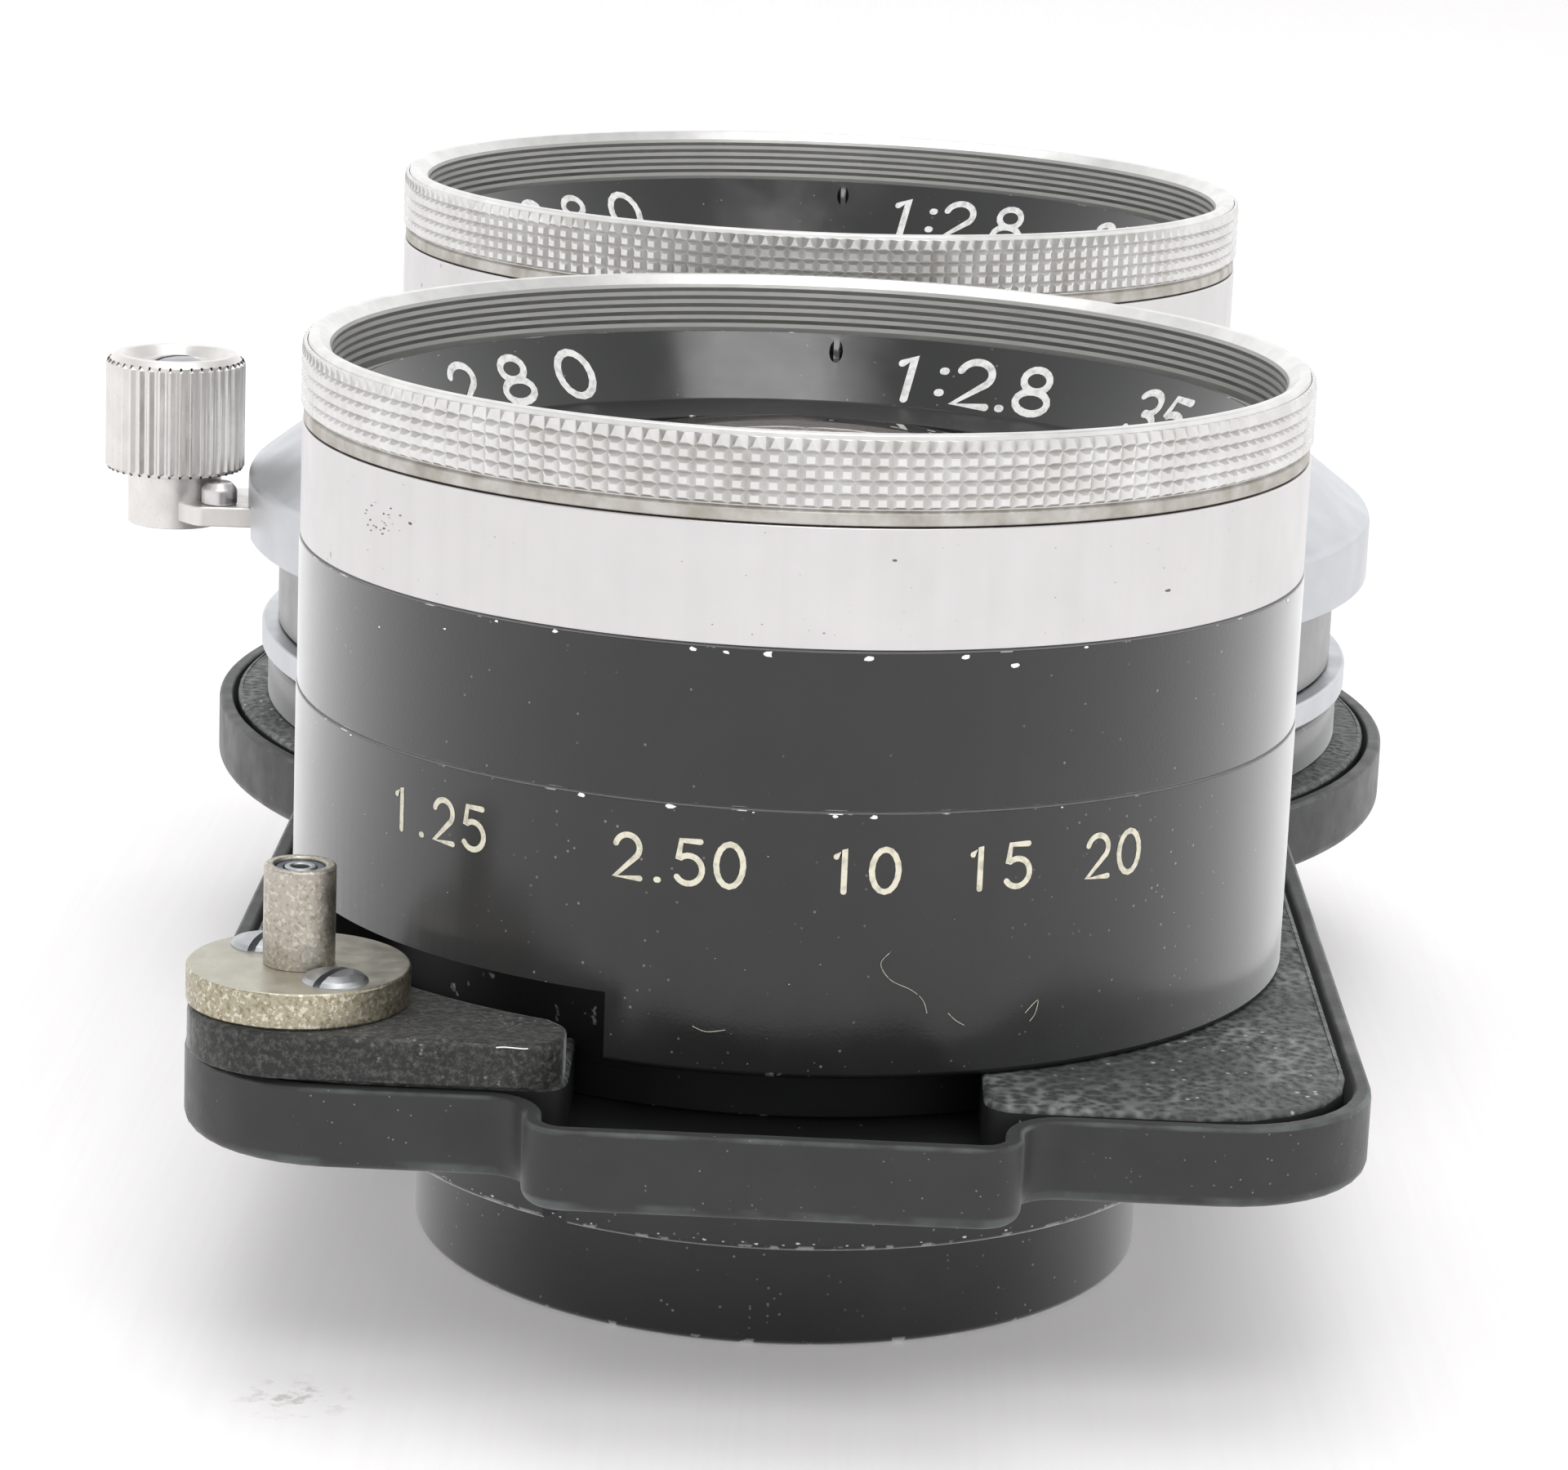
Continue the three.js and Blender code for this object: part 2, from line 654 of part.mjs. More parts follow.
add("shutter_case", shutterCase(), ALUMINIUM, taking);
add("shutter_blade_plate", tube(12.6, 23.75, BLADE_PLATE[0], BLADE_PLATE[1], SEG), BLACK, taking);
for (let i = 0; i < BLADES; i++) {
  const around = (360 / BLADES) * i;
  const iris = crescent(IRIS_PIVOT, BLADE_EDGE, 18.6, 125, IRIS_Z + BLADE_PITCH * i);
  add(`iris_blade_${i + 1}`, swung(iris, IRIS_PIVOT, 0, around), BLACK, taking);
}
for (let i = 0; i < BLADES; i++) {
  const around = (360 / BLADES) * i + 20;
  const blade = crescent(SHUTTER_PIVOT, BLADE_EDGE, 21.2, 100, SHUTTER_Z + BLADE_PITCH * i);
  const closed = swung(blade, SHUTTER_PIVOT, SHUTTER_TRAVEL, around);
  add(`shutter_blade_${i + 1}`, closed, STEEL, taking);
}

// A lever cut from plate: an eye on a pivot, a tapering arm and a round end, along +X.
function leverShape(eye, reach, root0, tip) {
  const shape = new THREE.Shape();
  shape.absarc(0, 0, eye, rad(60), rad(300), false);
  shape.lineTo(eye, -root0);
  shape.lineTo(reach - tip, -tip);
  shape.absarc(reach - tip, 0, tip, rad(-90), rad(90), false);
  shape.lineTo(eye, root0);
  return shape;
}

function pivotLever(where, shape, hole, z0, z1) {
  const at = polar(where.r, where.angle);
  const flat = plate(shape, z0, z1, 8).subtract(pin(0, 0, hole, z0 - 1, z1 + 1, 14));
  return turnedBy(flat, where.angle).translate([at.x, at.y, 0]);
}

function apertureRing() {
  const ring = tube(19.0, 23.1, 20.6, 22.2, SEG);
  const arm = block(22.4, 34.6, -1.75, 1.75, 20.9, 22.0);
  const pad = block(34.2, 36.4, -2.6, 2.6, 20.7, 22.6);
  return turnedBy(ring.add(arm).add(pad), APERTURE_ANGLE);
}

function cockingLever() {
  const z0 = ARM_Z[0];
  const z1 = ARM_Z[1];
  const arm = new THREE.Shape();
  arm.moveTo(22.4, -2.8);
  arm.lineTo(COCK_REACH, -2.2);
  arm.lineTo(COCK_REACH, 2.2);
  arm.lineTo(36, 4.0);
  arm.lineTo(31, 4.0);
  arm.lineTo(22.4, 2.8);
  const ring = tube(21.85, 23.65, z0, z1, SEG);
  const boss = pin(COCK_REACH, 0, 2.75, 24.7, 27.9, 24);
  return turnedBy(ring.add(plate(arm, z0, z1)).add(boss), COCK_ANGLE);
}

// A straight-knurled knob with a dished top.
function cockingKnob() {
  const ribs = 40;
  const shape = new THREE.Shape();
  for (let i = 0; i < ribs * 2; i++) {
    const at = polar(i % 2 ? 3.88 : 4.1, (180 / ribs) * i);
    if (i) shape.lineTo(at.x, at.y);
    else shape.moveTo(at.x, at.y);
  }
  const body = plate(shape, 27.95, KNOB_TOP - 0.4);
  const crown = [
    [0, KNOB_TOP - 0.5],
    [3.88, KNOB_TOP - 0.5],
    [3.55, KNOB_TOP],
    [0, KNOB_TOP],
  ];
  const hollow = [
    [0, KNOB_TOP - 0.7],
    [2.5, KNOB_TOP - 0.7],
    [3.1, KNOB_TOP + 0.1],
    [0, KNOB_TOP + 0.1],
  ];
  const top = turned(crown, 24);
  const dish = turned(hollow, 24);
  const at = polar(COCK_REACH, COCK_ANGLE);
  return body.add(top).subtract(dish).translate([at.x, at.y, 0]);
}

function domedPin(r, angle, radius, z0, z1) {
  const at = polar(r, angle);
  const profile = [
    [0, z0],
    [radius, z0],
    [radius, z1 - radius * 0.5],
    [radius * 0.7, z1 - radius * 0.15],
    [0, z1],
  ];
  return turned(profile, 16).translate([at.x, at.y, 0]);
}

function frontHousing() {
  const made = clearOfViewing(
    turned([
      [20.4, 25.0],
      [21.7, 25.0],
      [21.7, 26.8],
      [31.55, 26.8],
      [31.55, 24.8],
      [HOUSING_RADIUS, 24.8],
      [HOUSING_RADIUS, 28.4],
      [28.6, 31.9],
      [23.0, 31.9],
      [23.0, 27.1],
      [20.4, 27.1],
    ]),
  );
  const slotTop = ARM_Z[1] + 0.25;
  return [cockSlot, syncSlot].reduce(
    (cut, slot) => cut.subtract(sector(29, 35, ...slot, 24, slotTop)),
    made,
  );
}

add("aperture_ring", apertureRing(), BLACK, taking);
const releaseShape = leverShape(1.9, 10.2, 1.5, 1.7);
const syncShape = leverShape(1.25, 7.8, 0.9, 1.1);
add("release_lever", pivotLever(RELEASE, releaseShape, 0.88, 23.5, 24.5), ALUMINIUM, taking);
add("sync_lever", pivotLever(SYNC, syncShape, 0.68, 25.2, 26.2), ALUMINIUM, taking);
add("cocking_lever", cockingLever(), NICKEL, taking);
const stopPin = domedPin(34.9, COCK_ANGLE + 4.5, 1.05, ARM_Z[1], 27.8);
add("cocking_stop_pin", stopPin, ALUMINIUM, taking);
add("cocking_knob", cockingKnob(), NICKEL, taking);
const knobAt = polar(COCK_REACH, COCK_ANGLE);
const knobScrew = ovalScrew(knobAt.x, knobAt.y, 1.6, KNOB_TOP - 0.67, 1.0, 0.02, 35);
add("cocking_knob_screw", knobScrew, STEEL, taking);
add("shutter_front_housing", frontHousing(), ALUMINIUM, taking);
const speedRing = turned([
  [22.45, 32.2],
  [25.2, 32.2],
  [25.2, 34.7],
  [24.7, 35.3],
  [22.45, 35.3],
]);
const takingBarrel = turned([
  [20.2, 27.2],
  [22.35, 27.2],
  [22.35, 35.6],
  [24.35, 35.6],
  [24.35, 36.8],
  [23.25, 36.8],
  [23.25, 40.7],
  [22.25, 40.7],
  [22.25, 37.8],
  [20.2, 37.8],
]);
const frontCell = turned([
  [13, 27.2],
  [20.1, 27.2],
  [20.1, 37.8],
  [15.2, 37.8],
  [15.2, 34.5],
  [14, 34.5],
  [14, 28],
  [13, 28],
]);
add("speed_ring", speedRing, ALUMINIUM, taking);
add("taking_barrel", takingBarrel, BLACK, taking);
add("taking_band", band(TAKING_LIFT), ALUMINIUM, taking);
add("taking_filter_ring", filterRing(TAKING_LIFT), ALUMINIUM, taking);
add("taking_name_ring", nameRing(TAKING_LIFT), BLACK, taking);
add("taking_front_cell", frontCell, BLACK, taking);
add("taking_front_element", element(15.0, 35.2, 0.8, 39.7, 2.65), GLASS, taking);
add("taking_second_element", element(13.8, 29.5, -0.9, 32, 0.9), GLASS, taking);

export default root;
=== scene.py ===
"""Looks for the twin-lens set. In millimetres until a mesh is made; heights are above the rear rims."""
import json
import random
from math import asin, atan2, copysign, cos, degrees, hypot, pi, radians, sin, sqrt, tan, tau

import bpy
from mathutils import Matrix, Vector, noise
from mathutils.geometry import delaunay_2d_cdt

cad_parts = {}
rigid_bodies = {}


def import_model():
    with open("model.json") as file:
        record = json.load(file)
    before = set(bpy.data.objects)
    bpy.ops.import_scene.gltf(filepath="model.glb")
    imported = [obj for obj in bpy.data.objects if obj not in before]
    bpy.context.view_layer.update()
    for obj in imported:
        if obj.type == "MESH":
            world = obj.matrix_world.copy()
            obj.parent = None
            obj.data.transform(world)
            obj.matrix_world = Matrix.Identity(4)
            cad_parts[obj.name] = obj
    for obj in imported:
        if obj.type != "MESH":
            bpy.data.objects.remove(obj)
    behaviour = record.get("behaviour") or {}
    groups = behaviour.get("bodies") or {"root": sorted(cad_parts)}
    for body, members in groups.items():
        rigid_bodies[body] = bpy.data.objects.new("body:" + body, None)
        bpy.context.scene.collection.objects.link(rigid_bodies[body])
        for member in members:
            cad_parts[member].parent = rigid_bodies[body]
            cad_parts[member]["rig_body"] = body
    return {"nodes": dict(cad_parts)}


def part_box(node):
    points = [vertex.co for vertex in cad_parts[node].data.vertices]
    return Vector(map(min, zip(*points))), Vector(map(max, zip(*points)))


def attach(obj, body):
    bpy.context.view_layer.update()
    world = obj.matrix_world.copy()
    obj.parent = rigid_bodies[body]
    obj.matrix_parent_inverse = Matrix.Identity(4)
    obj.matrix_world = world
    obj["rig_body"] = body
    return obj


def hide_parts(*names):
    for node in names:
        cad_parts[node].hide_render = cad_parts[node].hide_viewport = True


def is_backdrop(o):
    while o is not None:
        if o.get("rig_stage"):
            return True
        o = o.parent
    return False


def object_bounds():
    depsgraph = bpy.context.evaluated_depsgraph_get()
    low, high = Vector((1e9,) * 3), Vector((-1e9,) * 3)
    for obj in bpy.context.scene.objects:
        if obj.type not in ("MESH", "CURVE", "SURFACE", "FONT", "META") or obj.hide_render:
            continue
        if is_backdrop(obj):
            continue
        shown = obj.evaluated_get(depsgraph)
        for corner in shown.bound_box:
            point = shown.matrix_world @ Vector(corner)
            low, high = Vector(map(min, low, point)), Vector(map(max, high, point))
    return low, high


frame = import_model()
CAD_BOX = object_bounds()

MM = 0.001
FLOOR_Z = CAD_BOX[0].z / MM  # the rear rims stand on the floor
SEGMENTS = 192  # around a barrel
SMALL = 48  # around a pin or screw
EDGE = 0.12  # the small round on a machined edge
SHARP = 0.001  # a cutter's edge

# The CAD's own sizes.
REAR_RADIUS = 18.04
FLANGE_RADIUS = 20.5
BARREL_RADIUS = 24.45
BOARD_BACK = 11.2
BOARD_FLOOR = 12.4
BOARD_RIM = 15.0
BOARD_BORE = 17.8
COVER_TOP = 15.2
BLOCK_TOP = 17.3
BLOCK_WALL = 25.7  # the terminal block's inner wall, around the viewing axis
DISC_TOP = 19.0
TAKING_LIFT = 2.0
SHUTTER_CUT = 24.8
LENS_SPACING = 50.0
EAR_RADIUS = 34.75
NARROW = 26.9
NEAR_EDGE = 28.1
TAB_HALF = 10.9
TAB_EDGE = 32.4
BOARD_CORNER = 8.0
COVER_HOLE = 21.7
SHUTTER_SLOPE = ((33.2, 28.4), (28.6, 31.9))  # the front housing's shoulder, as (radius, height)
LEVER_ANGLE = 75  # the aperture lever's place with the iris open
LEVER_TRAVEL = 40


def centre(node):
    """The middle of a CAD node's box, in millimetres."""
    lo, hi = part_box(node)
    return (lo + hi) / 2 / MM


VIEWING = centre("viewing_filter_ring")
TAKING = centre("taking_filter_ring")
TERMINAL = centre("terminal_shell")
KNOB = centre("cocking_knob")
COCK_ANGLE = degrees(atan2(KNOB.y - TAKING.y, KNOB.x - TAKING.x))
COCK_REACH = hypot(KNOB.y - TAKING.y, KNOB.x - TAKING.x)


# ---- node materials


class Shader:
    """A Principled material and short ways to add nodes to it."""

    def __init__(self, name, **inputs):
        self.material = bpy.data.materials.new(name)
        self.material.use_nodes = True
        self.tree = self.material.node_tree
        self.surface = self.tree.nodes["Principled BSDF"]
        self.place = self.node("ShaderNodeTexCoord").outputs["Object"]
        for socket, value in inputs.items():
            self.set(socket, value)

    def node(self, kind, **settings):
        made = self.tree.nodes.new(kind)
        for key, value in settings.items():
            setattr(made, key, value)
        return made

    def feed(self, socket, value):
        if isinstance(value, bpy.types.NodeSocket):
            self.tree.links.new(value, socket)
        else:
            socket.default_value = value

    def set(self, name, value):
        self.feed(self.surface.inputs[name.replace("_", " ")], value)

    def math(self, operation, a, b=0.0, c=0.0):
        made = self.node("ShaderNodeMath", operation=operation)
        for socket, value in zip(made.inputs, (a, b, c)):
            self.feed(socket, value)
        return made.outputs[0]

    def times(self, a, b):
        return self.math("MULTIPLY", a, b)

    def stretched(self, scale):
        made = self.node("ShaderNodeMapping")
        self.feed(made.inputs["Vector"], self.place)
        made.inputs["Scale"].default_value = scale
        return made.outputs[0]

    def noise(self, scale, detail=3.0, stretch=None, rough=0.55):
        made = self.node("ShaderNodeTexNoise")
        self.feed(made.inputs["Vector"], self.stretched(stretch) if stretch else self.place)
        made.inputs["Scale"].default_value = scale
        made.inputs["Detail"].default_value = detail
        made.inputs["Roughness"].default_value = rough
        return made.outputs["Fac"]

    def cells(self, scale, feature="F1"):
        made = self.node("ShaderNodeTexVoronoi", feature=feature)
        self.feed(made.inputs["Vector"], self.place)
        made.inputs["Scale"].default_value = scale
        return made

    def ramp(self, value, lo, hi, to_lo=0.0, to_hi=1.0):
        made = self.node("ShaderNodeMapRange", clamp=True)
        for name, given in (("Value", value), ("From Min", lo), ("From Max", hi)):
            self.feed(made.inputs[name], given)
        made.inputs["To Min"].default_value = to_lo
        made.inputs["To Max"].default_value = to_hi
        return made.outputs[0]

    def mix(self, factor, a, b):
        made = self.node("ShaderNodeMix", data_type="RGBA")
        for socket, value in zip((made.inputs[0], made.inputs[6], made.inputs[7]), (factor, a, b)):
            self.feed(socket, value)
        return made.outputs[2]

    def bump(self, height, distance, strength=1.0, under=None):
        made = self.node("ShaderNodeBump")
        self.feed(made.inputs["Height"], height)
        made.inputs["Distance"].default_value = distance
        made.inputs["Strength"].default_value = strength
        if under:
            self.feed(made.inputs["Normal"], under)
        return made.outputs[0]

    def relief(self, scale, detail, distance, strength, under=None):
        self.set("Normal", self.bump(self.noise(scale, detail), distance, strength, under))

    def mottled(self, scale, detail, base, share):
        """The base colour, with patches at a share of its brightness."""
        return self.mix(self.noise(scale, detail), (*base, 1), (*(c * share for c in base), 1))

    def edge(self):
        """1 on a piece's small outer edge rounds."""
        return self.node("ShaderNodeAttribute", attribute_name="edge").outputs["Fac"]

    def specks(self, scale, size, share):
        """Scattered round specks: their size in cells, and the share of cells with one."""
        found = self.cells(scale)
        chosen = self.node("ShaderNodeSeparateColor")
        self.feed(chosen.inputs[0], found.outputs["Color"])
        near = self.ramp(found.outputs["Distance"], size, size * 0.5)
        return self.times(near, self.ramp(chosen.outputs[0], share, share * 0.9))

    def roughness(self, scale, detail, low, high):
        self.set("Roughness", self.ramp(self.noise(scale, detail), 0.3, 0.7, low, high))

    def axis(self, which):
        made = self.node("ShaderNodeSeparateXYZ")
        self.feed(made.inputs[0], self.place)
        return made.outputs[which]


def gritty_black(name):
    """Black paint under a thin felt of grey dust and short bright scratches."""
    s = Shader(name, IOR=1.45, Sheen_Weight=0.4, Sheen_Roughness=0.3)
    tone = s.mix(s.noise(500, 5), (0.007, 0.007, 0.007, 1), (0.017, 0.017, 0.016, 1))
    felt = s.ramp(s.noise(3200, 5, None, 0.75), 0.47, 0.68, 0.0, 0.38)
    tone = s.mix(felt, tone, (0.20, 0.20, 0.18, 1))
    patch = s.ramp(s.noise(260, 3), 0.45, 0.65)
    hairs = s.times(s.ramp(s.noise(2400, 3, (1, 5, 1)), 0.66, 0.72), patch)
    hairs = s.math("MAXIMUM", hairs, s.times(s.specks(3200, 0.3, 0.3), patch))
    s.set("Base_Color", s.mix(s.times(hairs, 0.55), tone, (0.42, 0.40, 0.34, 1)))
    s.roughness(700, 3, 0.36, 0.6)
    s.relief(2800, 4, 0.00006, 0.9)
    return s.material


def black_anodised(name, dust=0.25, grain=1.0, wear=0.5, sheen=1.0, rough=0.20, index=1.5):
    s = Shader(name, IOR=index, Specular_IOR_Level=0.5, Sheen_Weight=sheen, Sheen_Roughness=0.45)
    tone = s.mix(s.noise(420, 4), (0.0050, 0.0051, 0.0053, 1), (0.0095, 0.0097, 0.0102, 1))
    patch = s.ramp(s.noise(90, 2), 0.42, 0.6, 0.0, 0.6)
    dirt = s.times(s.specks(3600, 0.28, 0.25 * dust), patch)
    film = s.ramp(s.noise(150, 5), 0.5, 0.75, 0.0, 0.10 * dust)
    tone = s.mix(film, tone, (0.22, 0.20, 0.17, 1))
    tone = s.mix(dirt, tone, (0.36, 0.33, 0.27, 1))
    worn = s.times(s.edge(), s.ramp(s.noise(900, 4), 0.66 - 0.1 * wear, 0.70 - 0.1 * wear))
    s.set("Base_Color", s.mix(worn, tone, (0.55, 0.55, 0.54, 1)))
    s.set("Metallic", worn)
    s.roughness(260, 3, rough - 0.04, rough + 0.07)
    turned = s.bump(s.noise(40, 2, (1, 1, 60)), 0.000004, 0.5 * grain)
    s.relief(7000, 2, 0.00001, 0.35 * grain, turned)
    return s.material


def enamel(name):
    """The board's satin black: finer than leatherette, lightly orange-peeled, rubbed at the rim, with a
    painted highlight along the rim's rounds.
    """
    s = Shader(name, IOR=1.5, Specular_IOR_Level=0.5, Sheen_Weight=0.12, Sheen_Roughness=0.4)
    tone = s.mix(s.noise(350, 4), (0.0120, 0.0124, 0.0124, 1), (0.0215, 0.0222, 0.0220, 1))
    dirt = s.times(s.specks(5200, 0.26, 0.07), s.ramp(s.noise(120, 2), 0.45, 0.6, 0.0, 0.7))
    tone = s.mix(dirt, tone, (0.30, 0.285, 0.25, 1))
    # greenish-grey on the edge rounds: partly rubbed paint, partly a painted highlight along the rim
    rubbed_and_highlight = s.times(s.edge(), s.ramp(s.noise(260, 4), 0.44, 0.70, 0.0, 0.45))
    tone = s.mix(rubbed_and_highlight, tone, (0.16, 0.185, 0.185, 1))
    s.set("Base_Color", tone)
    s.roughness(500, 3, 0.40, 0.55)
    s.relief(2600, 3, 0.00003, 0.35)
    return s.material


def leatherette(name):
    s = Shader(name, IOR=1.5, Specular_IOR_Level=0.5)
    grain = s.cells(2300, "SMOOTH_F1").outputs["Distance"]
    fine = s.noise(5200, 3)
    height = s.math("MULTIPLY_ADD", fine, 0.35, grain)
    tone = s.mix(s.noise(600, 4), (0.030, 0.032, 0.032, 1), (0.060, 0.064, 0.063, 1))
    # grey on the grain's raised tops: partly dust, partly a painted sheen
    dust_and_sheen = s.times(s.ramp(s.noise(160, 4), 0.40, 0.64, 0.12, 0.55), s.ramp(grain, 0.30, 0.70))
    tone = s.mix(dust_and_sheen, tone, (0.38, 0.40, 0.38, 1))
    dirt = s.times(s.specks(2400, 0.32, 0.12), s.ramp(s.noise(130, 2), 0.45, 0.6))
    s.set("Base_Color", s.mix(dirt, tone, (0.50, 0.48, 0.42, 1)))
    s.set("Roughness", s.ramp(fine, 0.3, 0.7, 0.42, 0.62))
    s.set("Normal", s.bump(height, 0.00014, 0.9))
    return s.material


def satin_aluminium(name, base=(0.84, 0.845, 0.85), rough=0.34, pits=0.0, dull=0.0, streaks_and_reflection=0.0):
    s = Shader(name, Metallic=1.0)
    tone = s.mottled(300, 5, base, 0.90)
    if dull:
        tone = s.mix(s.ramp(s.noise(700, 4), 0.35, 0.65, 0.0, dull), tone, (0.42, 0.395, 0.35, 1))
    if pits:
        field = s.times(s.specks(1500, 0.26, pits), s.ramp(s.noise(120, 2), 0.55, 0.68))
        left = s.ramp(s.axis("X"), -0.012, -0.019)
        tone = s.mix(s.times(field, s.ramp(left, 0, 1, 0.12, 1.0)), tone, (0.10, 0.09, 0.08, 1))
    # darker vertical bands down the metal: partly streaks, partly a painted reflection
    if streaks_and_reflection:
        vertical_bands = s.ramp(s.noise(900, 2, (1, 1, 0.02)), 0.42, 0.72, 0.0, streaks_and_reflection)
        tone = s.mix(vertical_bands, tone, (0.50, 0.49, 0.485, 1))
    s.set("Base_Color", tone)
    s.roughness(420, 3, rough - 0.05, rough + 0.07)
    turned = s.bump(s.noise(25, 3, (1, 1, 120)), 0.000006, 0.6)
    s.relief(6000, 2, 0.000006, 0.4, turned)
    return s.material


def nickel_plate(name, base=(0.60, 0.555, 0.465), tarnish=0.5, rough=0.36):
    s = Shader(name, Metallic=1.0)
    tone = s.mottled(500, 5, base, 0.82)
    stain = s.ramp(s.noise(4800, 4, None, 0.65), 0.60 - 0.16 * tarnish, 0.66, 0.0, 0.9 * tarnish)
    tone = s.mix(stain, tone, (0.19, 0.165, 0.085, 1))
    pale = s.ramp(s.noise(4200, 3), 0.54, 0.62, 0.0, 0.75 * tarnish)
    s.set("Base_Color", s.mix(pale, tone, (0.80, 0.755, 0.65, 1)))
    s.roughness(800, 3, rough - 0.06, rough + 0.14)
    s.relief(2600, 4, 0.00003, 0.25 + 0.5 * tarnish)
    return s.material


def steel(name, base=(0.56, 0.57, 0.60), rough=0.26):
    s = Shader(name, Metallic=1.0)
    s.set("Base_Color", s.mottled(900, 4, base, 0.75))
    s.roughness(1500, 3, rough, rough + 0.14)
    s.set("Normal", s.bump(s.noise(4000, 2, (1, 1, 8)), 0.000008, 0.5))
    return s.material


def insulator(name, base=(0.10, 0.125, 0.15)):
    s = Shader(name, IOR=1.5)
    s.set("Base_Color", s.mottled(2500, 3, base, 0.6))
    s.roughness(2500, 3, 0.45, 0.65)
    s.relief(6000, 2, 0.00001, 0.4)
    return s.material


def coated_glass(name, tint=(0.93, 0.90, 0.97), film=118.0):
    s = Shader(name, IOR=1.52, Transmission_Weight=1.0)
    s.set("Thin_Film_Thickness", film)
    s.set("Thin_Film_IOR", 1.38)
    s.set("Base_Color", s.mottled(60, 2, tint, 0.97))
    s.set("Roughness", s.ramp(s.noise(300, 4), 0.55, 0.8, 0.0, 0.05))
    return s.material


def engraving(name, base=(0.78, 0.74, 0.60)):
    s = Shader(name, IOR=1.45)
    worn = s.ramp(s.noise(2600, 4), 0.45, 0.7)
    s.set("Base_Color", s.mix(worn, (*base, 1), (*(c * 0.62 for c in base), 1)))
    s.roughness(3000, 2, 0.5, 0.7)
    s.relief(5000, 2, 0.00001, 0.5)
    return s.material


def paper_white(name):
    """The cloth-like sweep the object stands on, with a faint weave and a few small marks."""
    s = Shader(name, IOR=1.4, Specular_IOR_Level=0.2, Emission_Strength=0.17)
    s.set("Emission_Color", (1, 0.97, 0.975, 1))
    weave = s.times(s.noise(60, 1, (1, 34, 1)), 0.12)
    weave = s.math("MULTIPLY_ADD", s.noise(48, 1, (46, 1, 1)), 0.88, weave)
    tone = s.mix(s.ramp(weave, 0.35, 0.65), (0.800, 0.787, 0.791, 1), (0.822, 0.810, 0.814, 1))
    spot = s.node("ShaderNodeVectorMath", operation="DISTANCE")
    s.feed(spot.inputs[0], s.place)
    spot.inputs[1].default_value = (-0.0210, -0.0520, FLOOR_Z * MM)
    blot = s.ramp(s.noise(1300, 4), 0.52, 0.66)
    mark = s.times(s.ramp(spot.outputs["Value"], 0.0032, 0.0006), blot)
    tone = s.mix(s.times(mark, 0.65), tone, (0.33, 0.30, 0.28, 1))
    s.set("Base_Color", tone)
    s.roughness(900, 2, 0.75, 0.9)
    s.relief(700, 3, 0.00003, 0.2)
    return s.material


BLACK = black_anodised("black_anodised_satin")
BLACK_BAND = black_anodised("black_anodised_turned", dust=0.10, grain=1.6, wear=0.6)
BLACK_DUSTY = gritty_black("black_painted_dusty")
BLACK_WORN = black_anodised("black_anodised_worn", dust=0.4, wear=1.3)
# matte black for inner parts; this darker, sheenless copy also stands as painted shade on the barrel's
# notch and the board's floor
BLACK_INSIDE_AND_SHADE = black_anodised("black_anodised_inside_and_painted_shade", dust=0.05, grain=0.6, wear=0.0, sheen=0.0, rough=0.5)
GLOSS = black_anodised(
    "name_ring_gloss", dust=0.12, grain=0.2, wear=0.4, sheen=0.0, rough=0.13, index=1.75
)
PAINT = enamel("board_enamel")
LEATHER = leatherette("leatherette_grain")
BRIGHT = satin_aluminium("band_aluminium", base=(0.70, 0.685, 0.685), pits=0.3, streaks_and_reflection=0.12)
RING = satin_aluminium("ring_aluminium", base=(0.80, 0.795, 0.785), rough=0.34, dull=0.25)
# a darker copy of the ring's aluminium: painted shade for the dark interior that the thread's wall reflects
THREAD_PAINTED_SHADE = satin_aluminium("thread_aluminium_painted_shade", base=(0.43, 0.43, 0.415), rough=0.5, dull=0.2)
LIP = satin_aluminium("lip_aluminium", base=(0.62, 0.60, 0.57), rough=0.55, dull=1.0)
SHELL = satin_aluminium("shutter_aluminium", base=(0.57, 0.585, 0.61), rough=0.36)
GREY = satin_aluminium("case_aluminium", base=(0.33, 0.33, 0.33), rough=0.40)
NICKEL = nickel_plate("nickel_knob", base=(0.83, 0.81, 0.785), tarnish=0.10, rough=0.40)
TARNISHED = nickel_plate("nickel_tarnished", base=(0.47, 0.43, 0.325), tarnish=0.85)
TUBE_NICKEL = nickel_plate("nickel_tube", base=(0.50, 0.465, 0.41), tarnish=0.6)
DISC_TOP_NICKEL = nickel_plate("nickel_disc_top", base=(0.58, 0.555, 0.48), tarnish=0.12, rough=0.42)
SCREW = steel("screw_steel_polished", base=(0.52, 0.53, 0.55), rough=0.32)
BLADE = steel("blade_steel_dark", base=(0.17, 0.175, 0.185), rough=0.34)
INSULATOR = insulator("insulator_grey")
GLASS = coated_glass("coated_glass_front")
INNER_GLASS = coated_glass("coated_glass_inner", film=96.0)
CREAM = engraving("engraving_cream")
WHITE = engraving("engraving_white", (0.86, 0.86, 0.84))
LINT = engraving("lint_fibre", (0.62, 0.58, 0.48))
CHIP = satin_aluminium("bare_metal_chip", base=(0.93, 0.93, 0.93), rough=0.5)
RUB = satin_aluminium("rubbed_edge", base=(0.62, 0.62, 0.60), rough=0.5)
PIT = satin_aluminium("corroded_pit", base=(0.22, 0.21, 0.19), rough=0.6)
